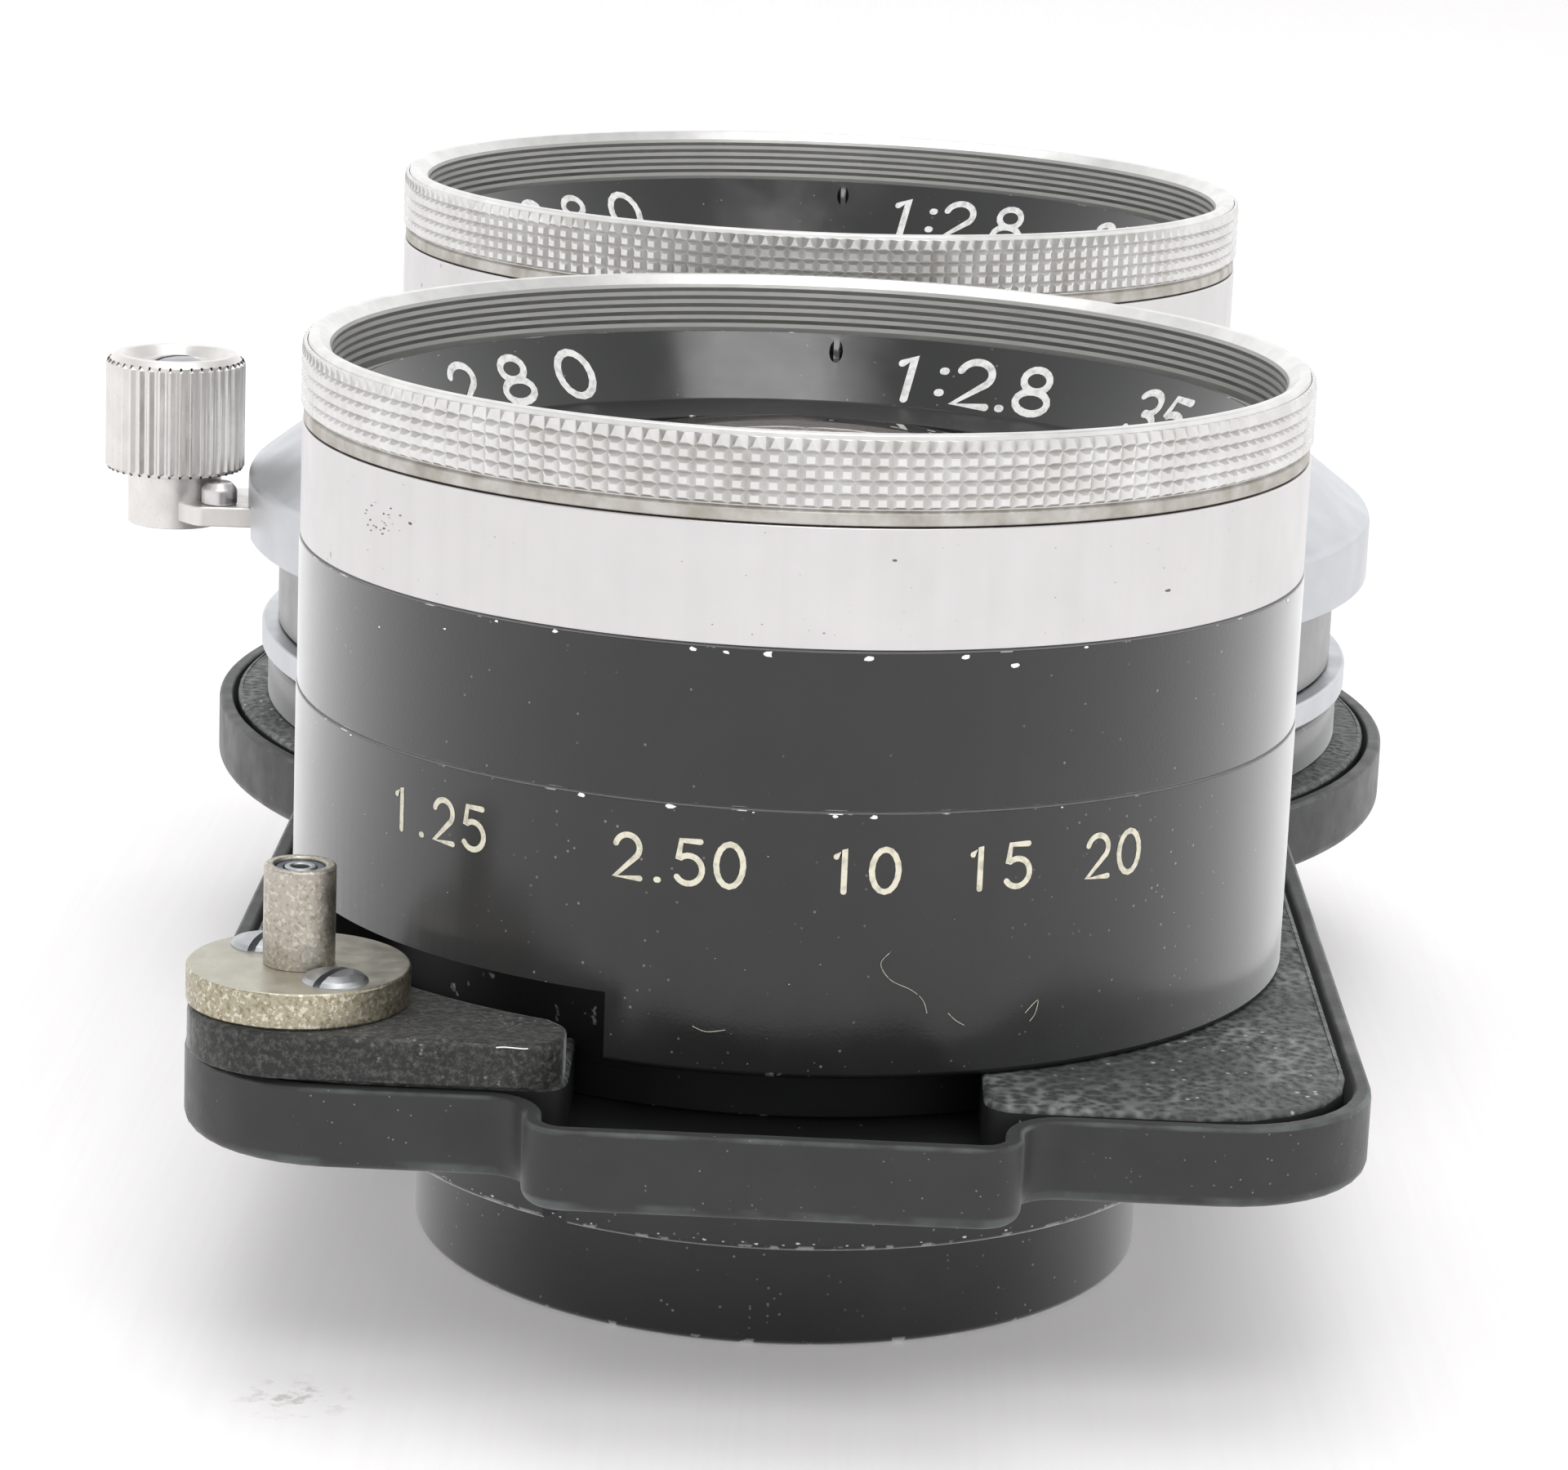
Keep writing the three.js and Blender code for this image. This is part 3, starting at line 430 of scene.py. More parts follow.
FINISHES = {
    "black_anodised": (BLACK, BLACK_BAND, BLACK_DUSTY, BLACK_WORN, BLACK_INSIDE_AND_SHADE, GLOSS, PAINT),
    "bright_aluminium": (BRIGHT, RING, LIP, SHELL, GREY, CREAM, WHITE, CHIP, RUB, PIT),
    "nickel_plate": (NICKEL, TARNISHED, TUBE_NICKEL),
    "screw_steel": (SCREW,),
    "leatherette": (LEATHER,),
    "insulator": (INSULATOR, LINT),
    "coated_glass": (GLASS, INNER_GLASS),
}
SLOT_OF = {finish.name: slot for slot, finishes in FINISHES.items() for finish in finishes}


# ---- profiles and outlines


def rounded(points, radius, steps=3, closed=True):
    """Corners become small arcs: (a, b) or (a, b, own radius) turn into (a, b, normal, normal, edge)."""
    area = sum(p[0] * q[1] - q[0] * p[1] for p, q in zip(points, points[1:] + points[:1]))
    if area < 0:
        points = points[::-1]
    out = []
    count = len(points)
    for i, (a, b, *own) in enumerate(points):
        here = Vector((a, b))
        into = (here - Vector(points[i - 1][:2])) if closed or i else None
        away = (Vector(points[(i + 1) % count][:2]) - here) if closed or i + 1 < count else None
        if into is None or away is None:
            d = (into or away).normalized()
            out.append((a, b, d.y, -d.x, 0.0))
            continue
        reach_limit = 0.45 * min(into.length, away.length)
        d0, d1 = into.normalized(), away.normalized()
        turn = atan2(d0.x * d1.y - d0.y * d1.x, d0.dot(d1))
        if abs(turn) < radians(9):
            d = (d0 + d1).normalized()
            out.append((a, b, d.y, -d.x, 0.0))
            continue
        half = tan(abs(turn) / 2)
        reach = min((own[0] if own else radius) * half, reach_limit)
        bend = copysign(reach / half, turn)
        normal = Vector((d0.y, -d0.x))
        middle = here - d0 * reach - normal * bend
        for k in range(steps + 1):
            n = Matrix.Rotation(turn * k / steps, 2) @ normal
            p = middle + n * bend
            out.append((p.x, p.y, n.x, n.y, 1.0 if turn > 0 and 0 < k < steps else 0.0))
    return out


def circle(at, segments=SEGMENTS):
    """Path frames (x, y, normal x, normal y) around a point: a profile's a is then a radius."""
    turns = [tau * i / segments for i in range(segments)]
    return [(at[0], at[1], cos(t), sin(t)) for t in turns]


def oval(x, y, rx, ry, start, stop, count=16):
    """Points on part of an oval, angles in degrees."""
    steps = [radians(start + (stop - start) * i / count) for i in range(count + 1)]
    return [(x + rx * cos(t), y + ry * sin(t)) for t in steps]


def rectangle(a0, a1, h0, h1):
    return [(a0, h0), (a1, h0), (a1, h1), (a0, h1)]


def arc_points(x, y, r, start, stop, count):
    return oval(x, y, r, r, start, stop, count)


def moved(points, at, turn=0.0):
    """Outline points, with their own radii, turned in degrees and then moved."""
    c, s = cos(radians(turn)), sin(radians(turn))
    return [(c * p[0] - s * p[1] + at[0], s * p[0] + c * p[1] + at[1], *p[2:]) for p in points]


# ---- chunks of mesh: (points, faces, normals, edge)


def sweep(path, profile, loop=True, poles=False):
    """A surface that carries a profile along a closed path; a loop profile closes on itself.

    With poles, a profile point at 0 lies on the axis, where all the path's points meet."""
    points, normals, edge, faces = [], [], [], []
    rows, count = len(profile), len(path)
    for x, y, nx, ny in path:
        for a, h, na, nh, e in profile:
            points.append((x + nx * a, y + ny * a, h + FLOOR_Z))
            normals.append((nx * na, ny * na, nh))
            edge.append(e)
    for u in range(count):
        here, there = u * rows, (u + 1) % count * rows
        for v in range(rows if loop else rows - 1):
            w = (v + 1) % rows
            if poles and profile[v][0] == 0:
                faces.append((here + v, there + w, here + w))
            elif poles and profile[w][0] == 0:
                faces.append((here + v, there + v, here + w))
            else:
                faces.append((here + v, there + v, there + w, here + w))
    return points, faces, normals, edge


def lathe(axis, profile, radius=EDGE, segments=SEGMENTS, lift=0.0):
    """A turned body around an axis; a profile that starts and ends on the axis stays open there."""
    raised = [(p[0], p[1] + lift, *p[2:]) for p in profile]
    on_axis = profile[0][0] == 0 and profile[-1][0] == 0
    return sweep(circle(axis, segments), rounded(raised, radius, closed=not on_axis), not on_axis, on_axis)


def inside(x, y, loop):
    """Whether a point lies in a closed outline."""
    odd = False
    for (ax, ay), (bx, by) in zip(loop, loop[1:] + loop[:1]):
        if (ay > y) != (by > y) and x < (bx - ax) * (y - ay) / (by - ay) + ax:
            odd = not odd
    return odd


def flat(outer, holes, h, up=True, grid=0.0, rise=None):
    """A flat face between outlines, with grid points and a rise(x, y) if it has a surface grain."""
    loops = [[(p[0], p[1]) for p in loop] for loop in (outer, *holes)]

    def on_face(x, y):
        return inside(x, y, loops[0]) and not any(inside(x, y, loop) for loop in loops[1:])

    coords, edges = [], []
    for loop in loops:
        first = len(coords)
        coords += [Vector(p) for p in loop]
        edges += [(first + i, first + (i + 1) % len(loop)) for i in range(len(loop))]
    if grid:
        xs, ys = [p[0] for p in loops[0]], [p[1] for p in loops[0]]
        for j in range(int((max(ys) - min(ys)) / grid)):
            for i in range(int((max(xs) - min(xs)) / grid)):
                x, y = min(xs) + (i + 0.5 + 0.5 * (j % 2)) * grid, min(ys) + (j + 0.5) * grid
                if on_face(x, y):
                    coords.append(Vector((x, y)))
    found, _, triangles, *_ = delaunay_2d_cdt(coords, edges, [], 1, 1e-6)
    points, faces = [], []
    for p in found:
        points.append((p.x, p.y, h + FLOOR_Z + (rise(p.x, p.y) if rise else 0.0)))
    for t in triangles:
        x, y = (sum(found[k][axis] for k in t) / len(t) for axis in (0, 1))
        if on_face(x, y):
            faces.append(tuple(t) if up else tuple(t[::-1]))
    return points, faces, [(0, 0, 1.0 if up else -1.0)] * len(points), [0.0] * len(points)


def slab(outline, h0, h1, radius=EDGE, corner=0.2, holes=(), steps=4, top_edge=None):
    """A plate with a rounded rim, cut from an outline; holes are (x, y, radius)."""
    path = [p[:4] for p in rounded(outline, corner, steps)]
    t = radius if top_edge is None else top_edge
    side = rounded([(-1.0, h0), (0.0, h0, radius), (0.0, h1, t), (-1.0, h1)], radius, closed=False)[1:-1]
    chunks = [sweep(path, side, False)]
    rims = [circle(hole, SMALL) for hole in holes]
    for rim, (_, _, r) in zip(rims, holes):
        wall = [(-r, h1, 1, 0, 0.0), (-r, h0, 1, 0, 0.0)]
        chunks.append(sweep([(x, y, -nx, -ny) for x, y, nx, ny in rim], wall, False))
    for h, a, up in ((h1, -t, True), (h0, -radius, False)):
        loop = [(x + nx * a, y + ny * a) for x, y, nx, ny in path]
        bores = [[(x + nx * r, y + ny * r) for x, y, nx, ny in rim] for rim, (_, _, r) in zip(rims, holes)]
        chunks.append(flat(loop, bores, h, up))
    return chunks


# ---- pieces


def in_scene(name, data):
    made = bpy.data.objects.new(name, data)
    bpy.context.scene.collection.objects.link(made)
    return made


def make_mesh(name, chunks, material):
    points, faces, normals, edge = [], [], [], []
    for p, f, n, e in chunks:
        first = len(points)
        points += [(x * MM, y * MM, z * MM) for x, y, z in p]
        faces += [tuple(first + k for k in face) for face in f]
        normals += n
        edge += e
    mesh = bpy.data.meshes.new(name)
    mesh.from_pydata(points, [], faces)
    mesh.attributes.new("edge", "FLOAT", "POINT").data.foreach_set("value", edge)
    mesh.polygons.foreach_set("use_smooth", [True] * len(mesh.polygons))
    mesh.normals_split_custom_set_from_vertices(normals)
    mesh.materials.append(material)
    return in_scene(name, mesh)


def settle(piece, node, slot=None):
    """The piece rides on the node's body; its slot, by default its finish's own, is worked out but not
    given to it.
    """
    slot = slot or SLOT_OF[piece.data.materials[0].name]
    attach(piece, frame["nodes"][node]["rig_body"])
    return piece


def piece_for(node, chunks, material, cutters=(), slot=None):
    """The detailed piece that stands for a CAD node, cut by solids if there are any."""
    piece = make_mesh(node + "_look", chunks, material)
    if cutters:
        cut(piece, cutters)
    settle(piece, node, slot)
    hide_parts(node)
    return piece


def turned(node, axis, profile, material, edge=EDGE, segments=SEGMENTS, lift=0.0, cutters=(), slot=None):
    """A turned piece that stands for a CAD node."""
    return piece_for(node, [lathe(axis, profile, edge, segments, lift)], material, cutters, slot)


def detail_on(name, node, chunks, material):
    """An added detail that rides with a CAD node without standing for it."""
    return settle(make_mesh(name, chunks, material), node)


def second_finish(piece, material, chosen):
    """Faces get another finish where chosen(middle, normal); the middle's z is a height."""
    piece.data.materials.append(material)
    for face in piece.data.polygons:
        middle = face.center / MM - Vector((0, 0, FLOOR_Z))
        face.material_index = int(chosen(middle, face.normal))


def refinish(node, material):
    """A CAD node kept as it is, with a better material."""
    mesh = frame["nodes"][node].data
    mesh.materials.clear()
    mesh.materials.append(material)


def off_axis(axis, point):
    return hypot(point.x - axis.x, point.y - axis.y)


def evaluated(piece):
    graph = bpy.context.evaluated_depsgraph_get()
    mesh = bpy.data.meshes.new_from_object(piece.evaluated_get(graph))
    piece.modifiers.clear()
    piece.data = mesh


def welded(piece):
    """One closed skin without custom normals, as the boolean needs."""
    weld = piece.modifiers.new("weld", "WELD")
    weld.merge_threshold = 1e-7
    evaluated(piece)
    if piece.data.attributes.get("custom_normal"):
        piece.data.attributes.remove(piece.data.attributes["custom_normal"])
    return piece


def cut(piece, cutters):
    """Takes the cutters' chunks away from a piece and evens its shading."""
    welded(piece)
    solids = [welded(make_mesh("cutter", chunks, piece.data.materials[0])) for chunks in cutters]
    for solid in solids:
        taken = piece.modifiers.new("cut", "BOOLEAN")
        taken.operation = "DIFFERENCE"
        taken.solver = "EXACT"
        taken.object = solid
    evaluated(piece)
    for solid in solids:
        bpy.data.objects.remove(solid)
    piece.data.polygons.foreach_set("use_smooth", [True] * len(piece.data.polygons))
    piece.data.set_sharp_from_angle(angle=radians(40))
    even = piece.modifiers.new("even", "WEIGHTED_NORMAL")
    even.keep_sharp = True
    evaluated(piece)


def sharp_slab(outline, h0, h1):
    """A cutter with edges left sharp."""
    return slab(outline, h0, h1, radius=SHARP, corner=SHARP, steps=1)


def sector(axis, r0, r1, start, stop, h0, h1):
    """An arc-shaped cutter between two radii and two angles in degrees."""
    ring = arc_points(axis.x, axis.y, r1, start, stop, 24) + arc_points(axis.x, axis.y, r0, stop, start, 24)
    return sharp_slab(ring, h0, h1)


def round_cutter(x, y, r, h0, h1):
    return [lathe(Vector((x, y, 0)), rectangle(0, r, h0, h1), SHARP)]


# ---- the board


def ear(inset, count):
    """The board's round end, about the taking axis."""
    r, w = EAR_RADIUS - inset, NARROW - inset
    meet = degrees(asin(sqrt(r**2 - w**2) / r))
    return arc_points(0, LENS_SPACING, r, -meet, 180 + meet, count)


def board_outline():
    """The lens board seen from the front, corner by corner, with each corner's radius."""
    w, near, tab, out, step = NARROW, NEAR_EDGE, TAB_HALF, TAB_EDGE, 1.9
    end = ear(0.0, 120)
    points = [(w, -near, BOARD_CORNER), (*end[0], 1.2), *end[1:-1], (*end[-1], 1.2)]
    points += [(-w, -near, BOARD_CORNER), (-tab, -near, step), (-tab, -out, step)]
    points += [(tab, -out, step), (tab, -near, step)]
    return moved(points, VIEWING)


def hole_rim(axis, r):
    return [(x + nx * r, y + ny * r) for x, y, nx, ny in circle(axis)]


def lens_board():
    path = [p[:4] for p in rounded(board_outline(), 1.0, 10)]
    rim = [(-1.5, BOARD_BACK), (0.0, BOARD_BACK, 0.9), (0.0, BOARD_RIM, 0.22)]
    rim += [(-0.8, BOARD_RIM, 0.2), (-0.8, BOARD_FLOOR, 0.3), (-1.5, BOARD_FLOOR)]
    wall = sweep(path, rounded(rim, EDGE, 6, closed=False), False)
    inner = [(x - nx * 1.5, y - ny * 1.5) for x, y, nx, ny in path]
    holes = [hole_rim(axis, BOARD_BORE) for axis in (VIEWING, TAKING)]
    faces = [flat(inner, holes, BOARD_FLOOR, True), flat(inner, holes, BOARD_BACK, False)]
    piece = piece_for("lens_board", [wall, *faces], PAINT)
    # the pan's floor takes the darker matte black: painted shade where the cover and the barrel keep light
    # off it
    second_finish(piece, BLACK_INSIDE_AND_SHADE, lambda at, normal: normal.z > 0.9 and at.z < BOARD_FLOOR + 0.1)


def crinkle(x, y):
    """The leatherette's relief, in millimetres."""
    broad = noise.noise(Vector((x * 1.7, y * 1.7, 3.1)))
    fine = noise.noise(Vector((x * 3.9, y * 3.9, 8.2)))
    return 0.035 * broad + 0.03 * abs(fine) - 0.05


def board_cover():
    inset, notch, drop = 1.1, 9.25, 0.28
    w, near, corner = NARROW - inset, NEAR_EDGE - inset, BOARD_CORNER - inset
    low = degrees(asin(notch / COVER_HOLE))
    around = arc_points(0, 0, COVER_HOLE, 270 - low, -90 + low, 120)
    points = [(notch, -near, 1.4), (w, -near, corner), *ear(inset, 90)]
    points += [(-w, -near, corner), (-notch, -near, 1.4)]
    outline = moved(points + around, VIEWING)
    path = [p[:4] for p in rounded(outline, 0.3, 5)]
    side = [(-1.0, 12.5), (0, 12.5), (0, COVER_TOP, drop), (-1.0, COVER_TOP)]
    wall = sweep(path, rounded(side, EDGE, closed=False)[1:-1], False)
    top = [(x - nx * drop, y - ny * drop) for x, y, nx, ny in path]
    surface = flat(top, [hole_rim(TAKING, COVER_HOLE)], COVER_TOP, True, 0.42, crinkle)
    piece = piece_for("board_cover", [wall, surface], LEATHER)
    piece.data.attributes.remove(piece.data.attributes["custom_normal"])
    second_finish(piece, BLACK_INSIDE_AND_SHADE, lambda at, normal: abs(normal.z) < 0.2)


# ---- the flash terminal


def slotted_screw(node, at, z, head, slot_angle):
    """An oval head with a slot, its face at height z; the head is drawn on a slim shank."""
    dome = [(0, z - 0.3), (head, z - 0.3), (head, z + head * 0.05), (head * 0.88, z + head * 0.16)]
    dome += [(head * 0.55, z + head * 0.27), (0, z + head * 0.32)]
    half = head * 0.12
    slot = rectangle(-2 * head, 2 * head, -half, half)
    cutter = sharp_slab(moved(slot, at, slot_angle), z + head * 0.02, z + head)
    turned(node, at, dome, SCREW, 0.1, SMALL, cutters=[cutter])


def terminal():
    """The block's inner wall follows the viewing barrel; its front edge is rubbed bright."""
    half_w, front = NARROW - 0.3, 27.8
    back = arc_points(0, 0, BLOCK_WALL, 219.6, 246.6, 24)
    outline = [(-9.4, -front, 1.8), (-half_w, -front, 7.7), (-half_w, -16.4, 1.6), (*back[0], 0.4)]
    outline += back[1:-1] + [(-10.2, -23.59, 0.6), (-9.4, -24.6, 0.6)]
    outline = moved(outline, VIEWING)
    block = slab(outline, COVER_TOP + 0.05, BLOCK_TOP, 0.1, steps=8, top_edge=0.32)
    piece_for("terminal_block", block, BLACK_DUSTY)
    rub = ((-12.3, 0.13), (-11.9, 0.10), (-11.5, 0.12), (-11.1, 0.14), (-10.9, 0.12))
    line = [Vector((VIEWING.x + x, VIEWING.y - front - 0.03, BLOCK_TOP + FLOOR_Z - dz)) for x, dz in rub]
    detail_on("block_rub", "terminal_block", [fibre(line, 0.035)], CHIP)
    side = [(0, BLOCK_TOP), (5.05, BLOCK_TOP), (5.05, DISC_TOP, 0.2), (4.75, DISC_TOP), (0, DISC_TOP)]
    disc = turned("terminal_flange", centre("terminal_flange"), side, TARNISHED, 0.16, 128)
    second_finish(disc, DISC_TOP_NICKEL, lambda at, normal: at.z > DISC_TOP - 0.02)
    for node, angle in (("terminal_screw_near", 62), ("terminal_screw_far", 75)):
        slotted_screw(node, centre(node), DISC_TOP, 1.5, angle)
    tube = [(1.15, DISC_TOP), (1.625, DISC_TOP), (1.625, 23.6, 0.14), (1.15, 23.6, 0.12)]
    turned("terminal_shell", TERMINAL, tube, TUBE_NICKEL, 0.05, 64)
    ring = rectangle(0.78, 1.1, DISC_TOP, 23.45)
    turned("terminal_insulator", TERMINAL, ring, INSULATOR, 0.05, SMALL)
    pin = rectangle(0.42, 0.72, DISC_TOP, 23.5)
    turned("terminal_contact", TERMINAL, pin, SCREW, 0.08, SMALL, slot="nickel_plate")


# ---- what both lenses have

BOARD_SEAT = [(16.6, 6.5), (17.5, 6.5), (17.5, 12.4), (21.5, 12.4), (21.5, 15.2)]  # through the board
BAND_RADIUS = 24.35
KNURL_TEETH = 192
KNURL_ROWS = 5
KNURL_LOW, KNURL_HIGH = 41.1, 44.15
KNURL_ROOT, KNURL_TIP = 24.15, 24.4


def knurl(axis, lift):
    """Rows of small pyramids with blunt tips; the top row runs out into the bevel above it."""
    points, faces, normals = [], [], []
    pitch = tau / KNURL_TEETH
    row = (KNURL_HIGH - KNURL_LOW) / KNURL_ROWS

    def at(r, turn, h):
        return Vector((axis.x + r * cos(turn), axis.y + r * sin(turn), h + lift + FLOOR_Z))

    def quad(corners):
        normal = (corners[1] - corners[0]).cross(corners[2] - corners[0]).normalized()
        first = len(points)
        points.extend(tuple(c) for c in corners)
        normals.extend([tuple(normal)] * len(corners))
        faces.append(tuple(range(first, first + len(corners))))

    blunt_t, blunt_h = pitch * 0.27, row * 0.25
    for i in range(KNURL_TEETH):
        for j in range(KNURL_ROWS):
            low, high = KNURL_LOW + j * row, KNURL_LOW + j * row + row
            t0, t1 = i * pitch, (i + 1) * pitch
            base = [at(KNURL_ROOT, t, h) for t, h in rectangle(t0, t1, low, high)]
            a0, a1, h0, h1 = t0 + blunt_t, t1 - blunt_t, low + blunt_h, high - blunt_h
            top = [at(KNURL_TIP, t, h) for t, h in rectangle(a0, a1, h0, h1)]
            last = j == KNURL_ROWS - 1
            if last:
                top[2] = top[3] = at(KNURL_TIP - 0.06, t0 + pitch / 2, high - 0.02)
            for k in range(4):
                quad([base[k], base[(k + 1) % 4], top[(k + 1) % 4], top[k]])
            quad(top[:3] if last else top)
    return points, faces, normals, [0.3] * len(points)


THREAD_RADIUS = 22.98


def threads(r, top, bottom, pitch=0.42, depth=0.045):
    """The filter thread's turns as a profile running down the inner wall."""
    turns = int((top - bottom) / pitch)
    found = []
    for i in range(turns):
        h = top - i * pitch
        found += [(r, h, 0.05), (r + depth, h - pitch * 0.5, 0.05)]
    return found + [(r, top - turns * pitch, 0.05)]


def filter_ring(node, axis, lift):
    body = [(KNURL_ROOT - 0.02, 41.02), (KNURL_ROOT - 0.02, 44.1, 0.02), (24.05, 44.36, 0.1)]
    body += [(23.85, 44.4, 0.12), (23.58, 44.38, 0.12), (23.08, 43.95, 0.12)]
    body += threads(THREAD_RADIUS, 43.75, 41.4)
    body += [(THREAD_RADIUS, 41.25), (22.6, 41.2), (22.6, 39.3), (23.3, 39.3), (23.3, 40.9)]
    piece = piece_for(node, [lathe(axis, body, 0.08, lift=lift), knurl(axis, lift)], RING)
    # the thread's inner wall takes the darker aluminium: painted shade
    second_finish(piece, THREAD_PAINTED_SHADE, lambda at, normal: off_axis(axis, at) < 23.12 and at.z < 43.9 + lift)
    lip = [(23.3, 40.35), (24.27, 40.35, 0.1), (24.27, 40.92, 0.1), (24.05, 41.06), (23.3, 41.06)]
    detail_on(node + "_lip", node, [lathe(axis, lip, 0.06, lift=lift)], LIP)


def band(node, axis, lift, cutters=()):
    body = [(23.4, 34.85), (BAND_RADIUS, 34.85, 0.06), (BAND_RADIUS, 40.3, 0.08), (23.4, 40.3)]
    turned(node, axis, body, BRIGHT, 0.06, lift=lift, cutters=cutters)


NAME_LOW, NAME_HIGH = (19.8, 38.3), (21.95, 41.6)  # the sloping face that carries the numbers
SPANNER_RADIUS, SPANNER_HOLE = 21.4, 0.36  # where the holes are, and each one's radius


def name_ring(node, axis, lift):
    """The glossy slope with its two spanner holes, and the dull flat around the glass."""
    body = [(15.2, 35.9), (22.1, 35.9), (22.1, 41.6)]
    body += [(*NAME_HIGH, 0.06), (*NAME_LOW, 0.15), (15.2, 38.3, 0.1)]
    holes = []
    for angle in (radians(86.6), radians(266.6)):
        x, y = axis.x + SPANNER_RADIUS * cos(angle), axis.y + SPANNER_RADIUS * sin(angle)
        holes.append(round_cutter(x, y, SPANNER_HOLE, 39.6 + lift, 43 + lift))
    piece = turned(node, axis, body, GLOSS, 0.08, lift=lift, cutters=holes)
    second_finish(piece, BLACK_INSIDE_AND_SHADE, lambda at, normal: at.z < NAME_LOW[1] + 0.1 + lift)


def dome(r, rim, sag, count=14):
    """A spherical surface from its rim to the axis, rising by the sagitta."""
    if abs(sag) < 1e-6:
        return [(r, rim), (0, rim)]
    sphere = (r * r + sag * sag) / (2 * abs(sag))
    side = copysign(1, sag)
    points = []
    for i in range(count + 1):
        radius = r * (1 - i / count)
        points.append((radius, rim + side * (sqrt(sphere**2 - radius**2) - sphere + abs(sag))))
    return points


def element(node, axis, r, lower, lower_sag, upper, upper_sag, material=GLASS):
    """A lens element: sagittas are positive where a surface bulges outwards."""
    under = [(a, 2 * lower - h) for a, h in dome(r, lower, lower_sag)]
    profile = under[::-1] + dome(r, upper, upper_sag)
    turned(node, axis, profile, material, 0.05, 96)


def lock_ring(node, axis):
    """A plain flange with two spanner notches opposite each other."""
    body = [(17.65, 5.6), (FLANGE_RADIUS, 5.6, 0.3), (FLANGE_RADIUS, 11.5), (17.65, 11.5)]
    notch = rectangle(18.9, 22, -0.65, 0.65)
    cutters = [sharp_slab(moved(notch, axis, angle), 5, 7) for angle in (-119.5, 60.5)]
    turned(node, axis, body, BLACK_WORN, cutters=cutters)


def rear_parts(prefix, axis):
    lock_ring(prefix + "_lock_ring", axis)
    body = [(15.3, 0), (REAR_RADIUS, 0, 0.35), (REAR_RADIUS, 5.3), (16.5, 5.3), (16.5, 9), (15.3, 9)]
    turned(prefix + "_rear_barrel", axis, body, BLACK)
    retainer = rectangle(13.0, 15.2, 0.8, 1.6)
    turned(prefix + "_rear_retainer", axis, retainer, BLACK_INSIDE_AND_SHADE)
    element(prefix + "_rear_element", axis, 15.1, 2.8, 1.1, 5.2, 0.0)


def front_parts(prefix, axis, lift):
    """The rings and the glass in front of a barrel; the taking lens's stand higher by the lift."""
    filter_ring(prefix + "_filter_ring", axis, lift)
    name_ring(prefix + "_name_ring", axis, lift)
    element(prefix + "_front_element", axis, 15.0, 33.2 + lift, 0.7, 37.7 + lift, 2.65)


# ---- the viewing lens

FOCUS_RADIUS = 24.4
NOTCH = (-153.5, -108.65)  # the barrel's cut for the terminal block, in degrees
NOTCH_TOP = 18.5


def viewing_lens():
    rear_parts("viewing", VIEWING)
    front_parts("viewing", VIEWING, 0.0)
    barrel = [*BOARD_SEAT, (BARREL_RADIUS, 15.2, 0.3), (BARREL_RADIUS, 27.5, 0.06)]
    barrel += [(22.1, 27.5), (22.1, 30), (20.9, 30), (20.9, 14), (16.6, 14)]
    notch = sector(VIEWING, 21.4, 27, *NOTCH, 14, NOTCH_TOP)
    piece = turned("viewing_barrel", VIEWING, barrel, BLACK, cutters=[notch])
    # the notch's faces and the barrel's low inner faces take the darker matte black: painted shade in the
    # notch and under the barrel's foot
    wall, top = BARREL_RADIUS - 0.02, NOTCH_TOP + 0.1
    second_finish(piece, BLACK_INSIDE_AND_SHADE, lambda at, normal: at.z < top and off_axis(VIEWING, at) < wall)
    focus = [(22.25, 27.6), (FOCUS_RADIUS, 27.6, 0.06), (FOCUS_RADIUS, 34.75, 0.06)]
    focus += [(23.25, 34.75), (23.25, 38.7), (22.25, 38.7)]
    turned("viewing_focus_ring", VIEWING, focus, BLACK_BAND)
    hole = rectangle(23.3, 25.0, -0.78, 0.78)
    pocket = slab(moved(hole, VIEWING, 2), 36.82, 38.38, 0.7, 0.2, steps=2)
    band("viewing_band", VIEWING, 0.0, [pocket])
    refinish("viewing_set_screw", SCREW)
    cell = [(14, 15), (20.8, 15), (20.8, 35.8), (15.2, 35.8), (15.2, 33), (14, 33)]
    turned("viewing_cell", VIEWING, cell, BLACK_INSIDE_AND_SHADE)
    element("viewing_middle_element", VIEWING, 13.8, 25, 0.8, 27, -0.8, INNER_GLASS)


# ---- the taking lens and its shutter

COCK_SLOT = (COCK_ANGLE - 66, COCK_ANGLE + 9.5)
SPEED_RADIUS = 25.2
SPEED_START, SPEED_STEP = 62, 15  # the speed scale's first number and spacing, in degrees
SYNC_SLOT = (41, 55)
RELEASE_SLOT = (60.5, 76)
APERTURE_SLOT = (69, 121)


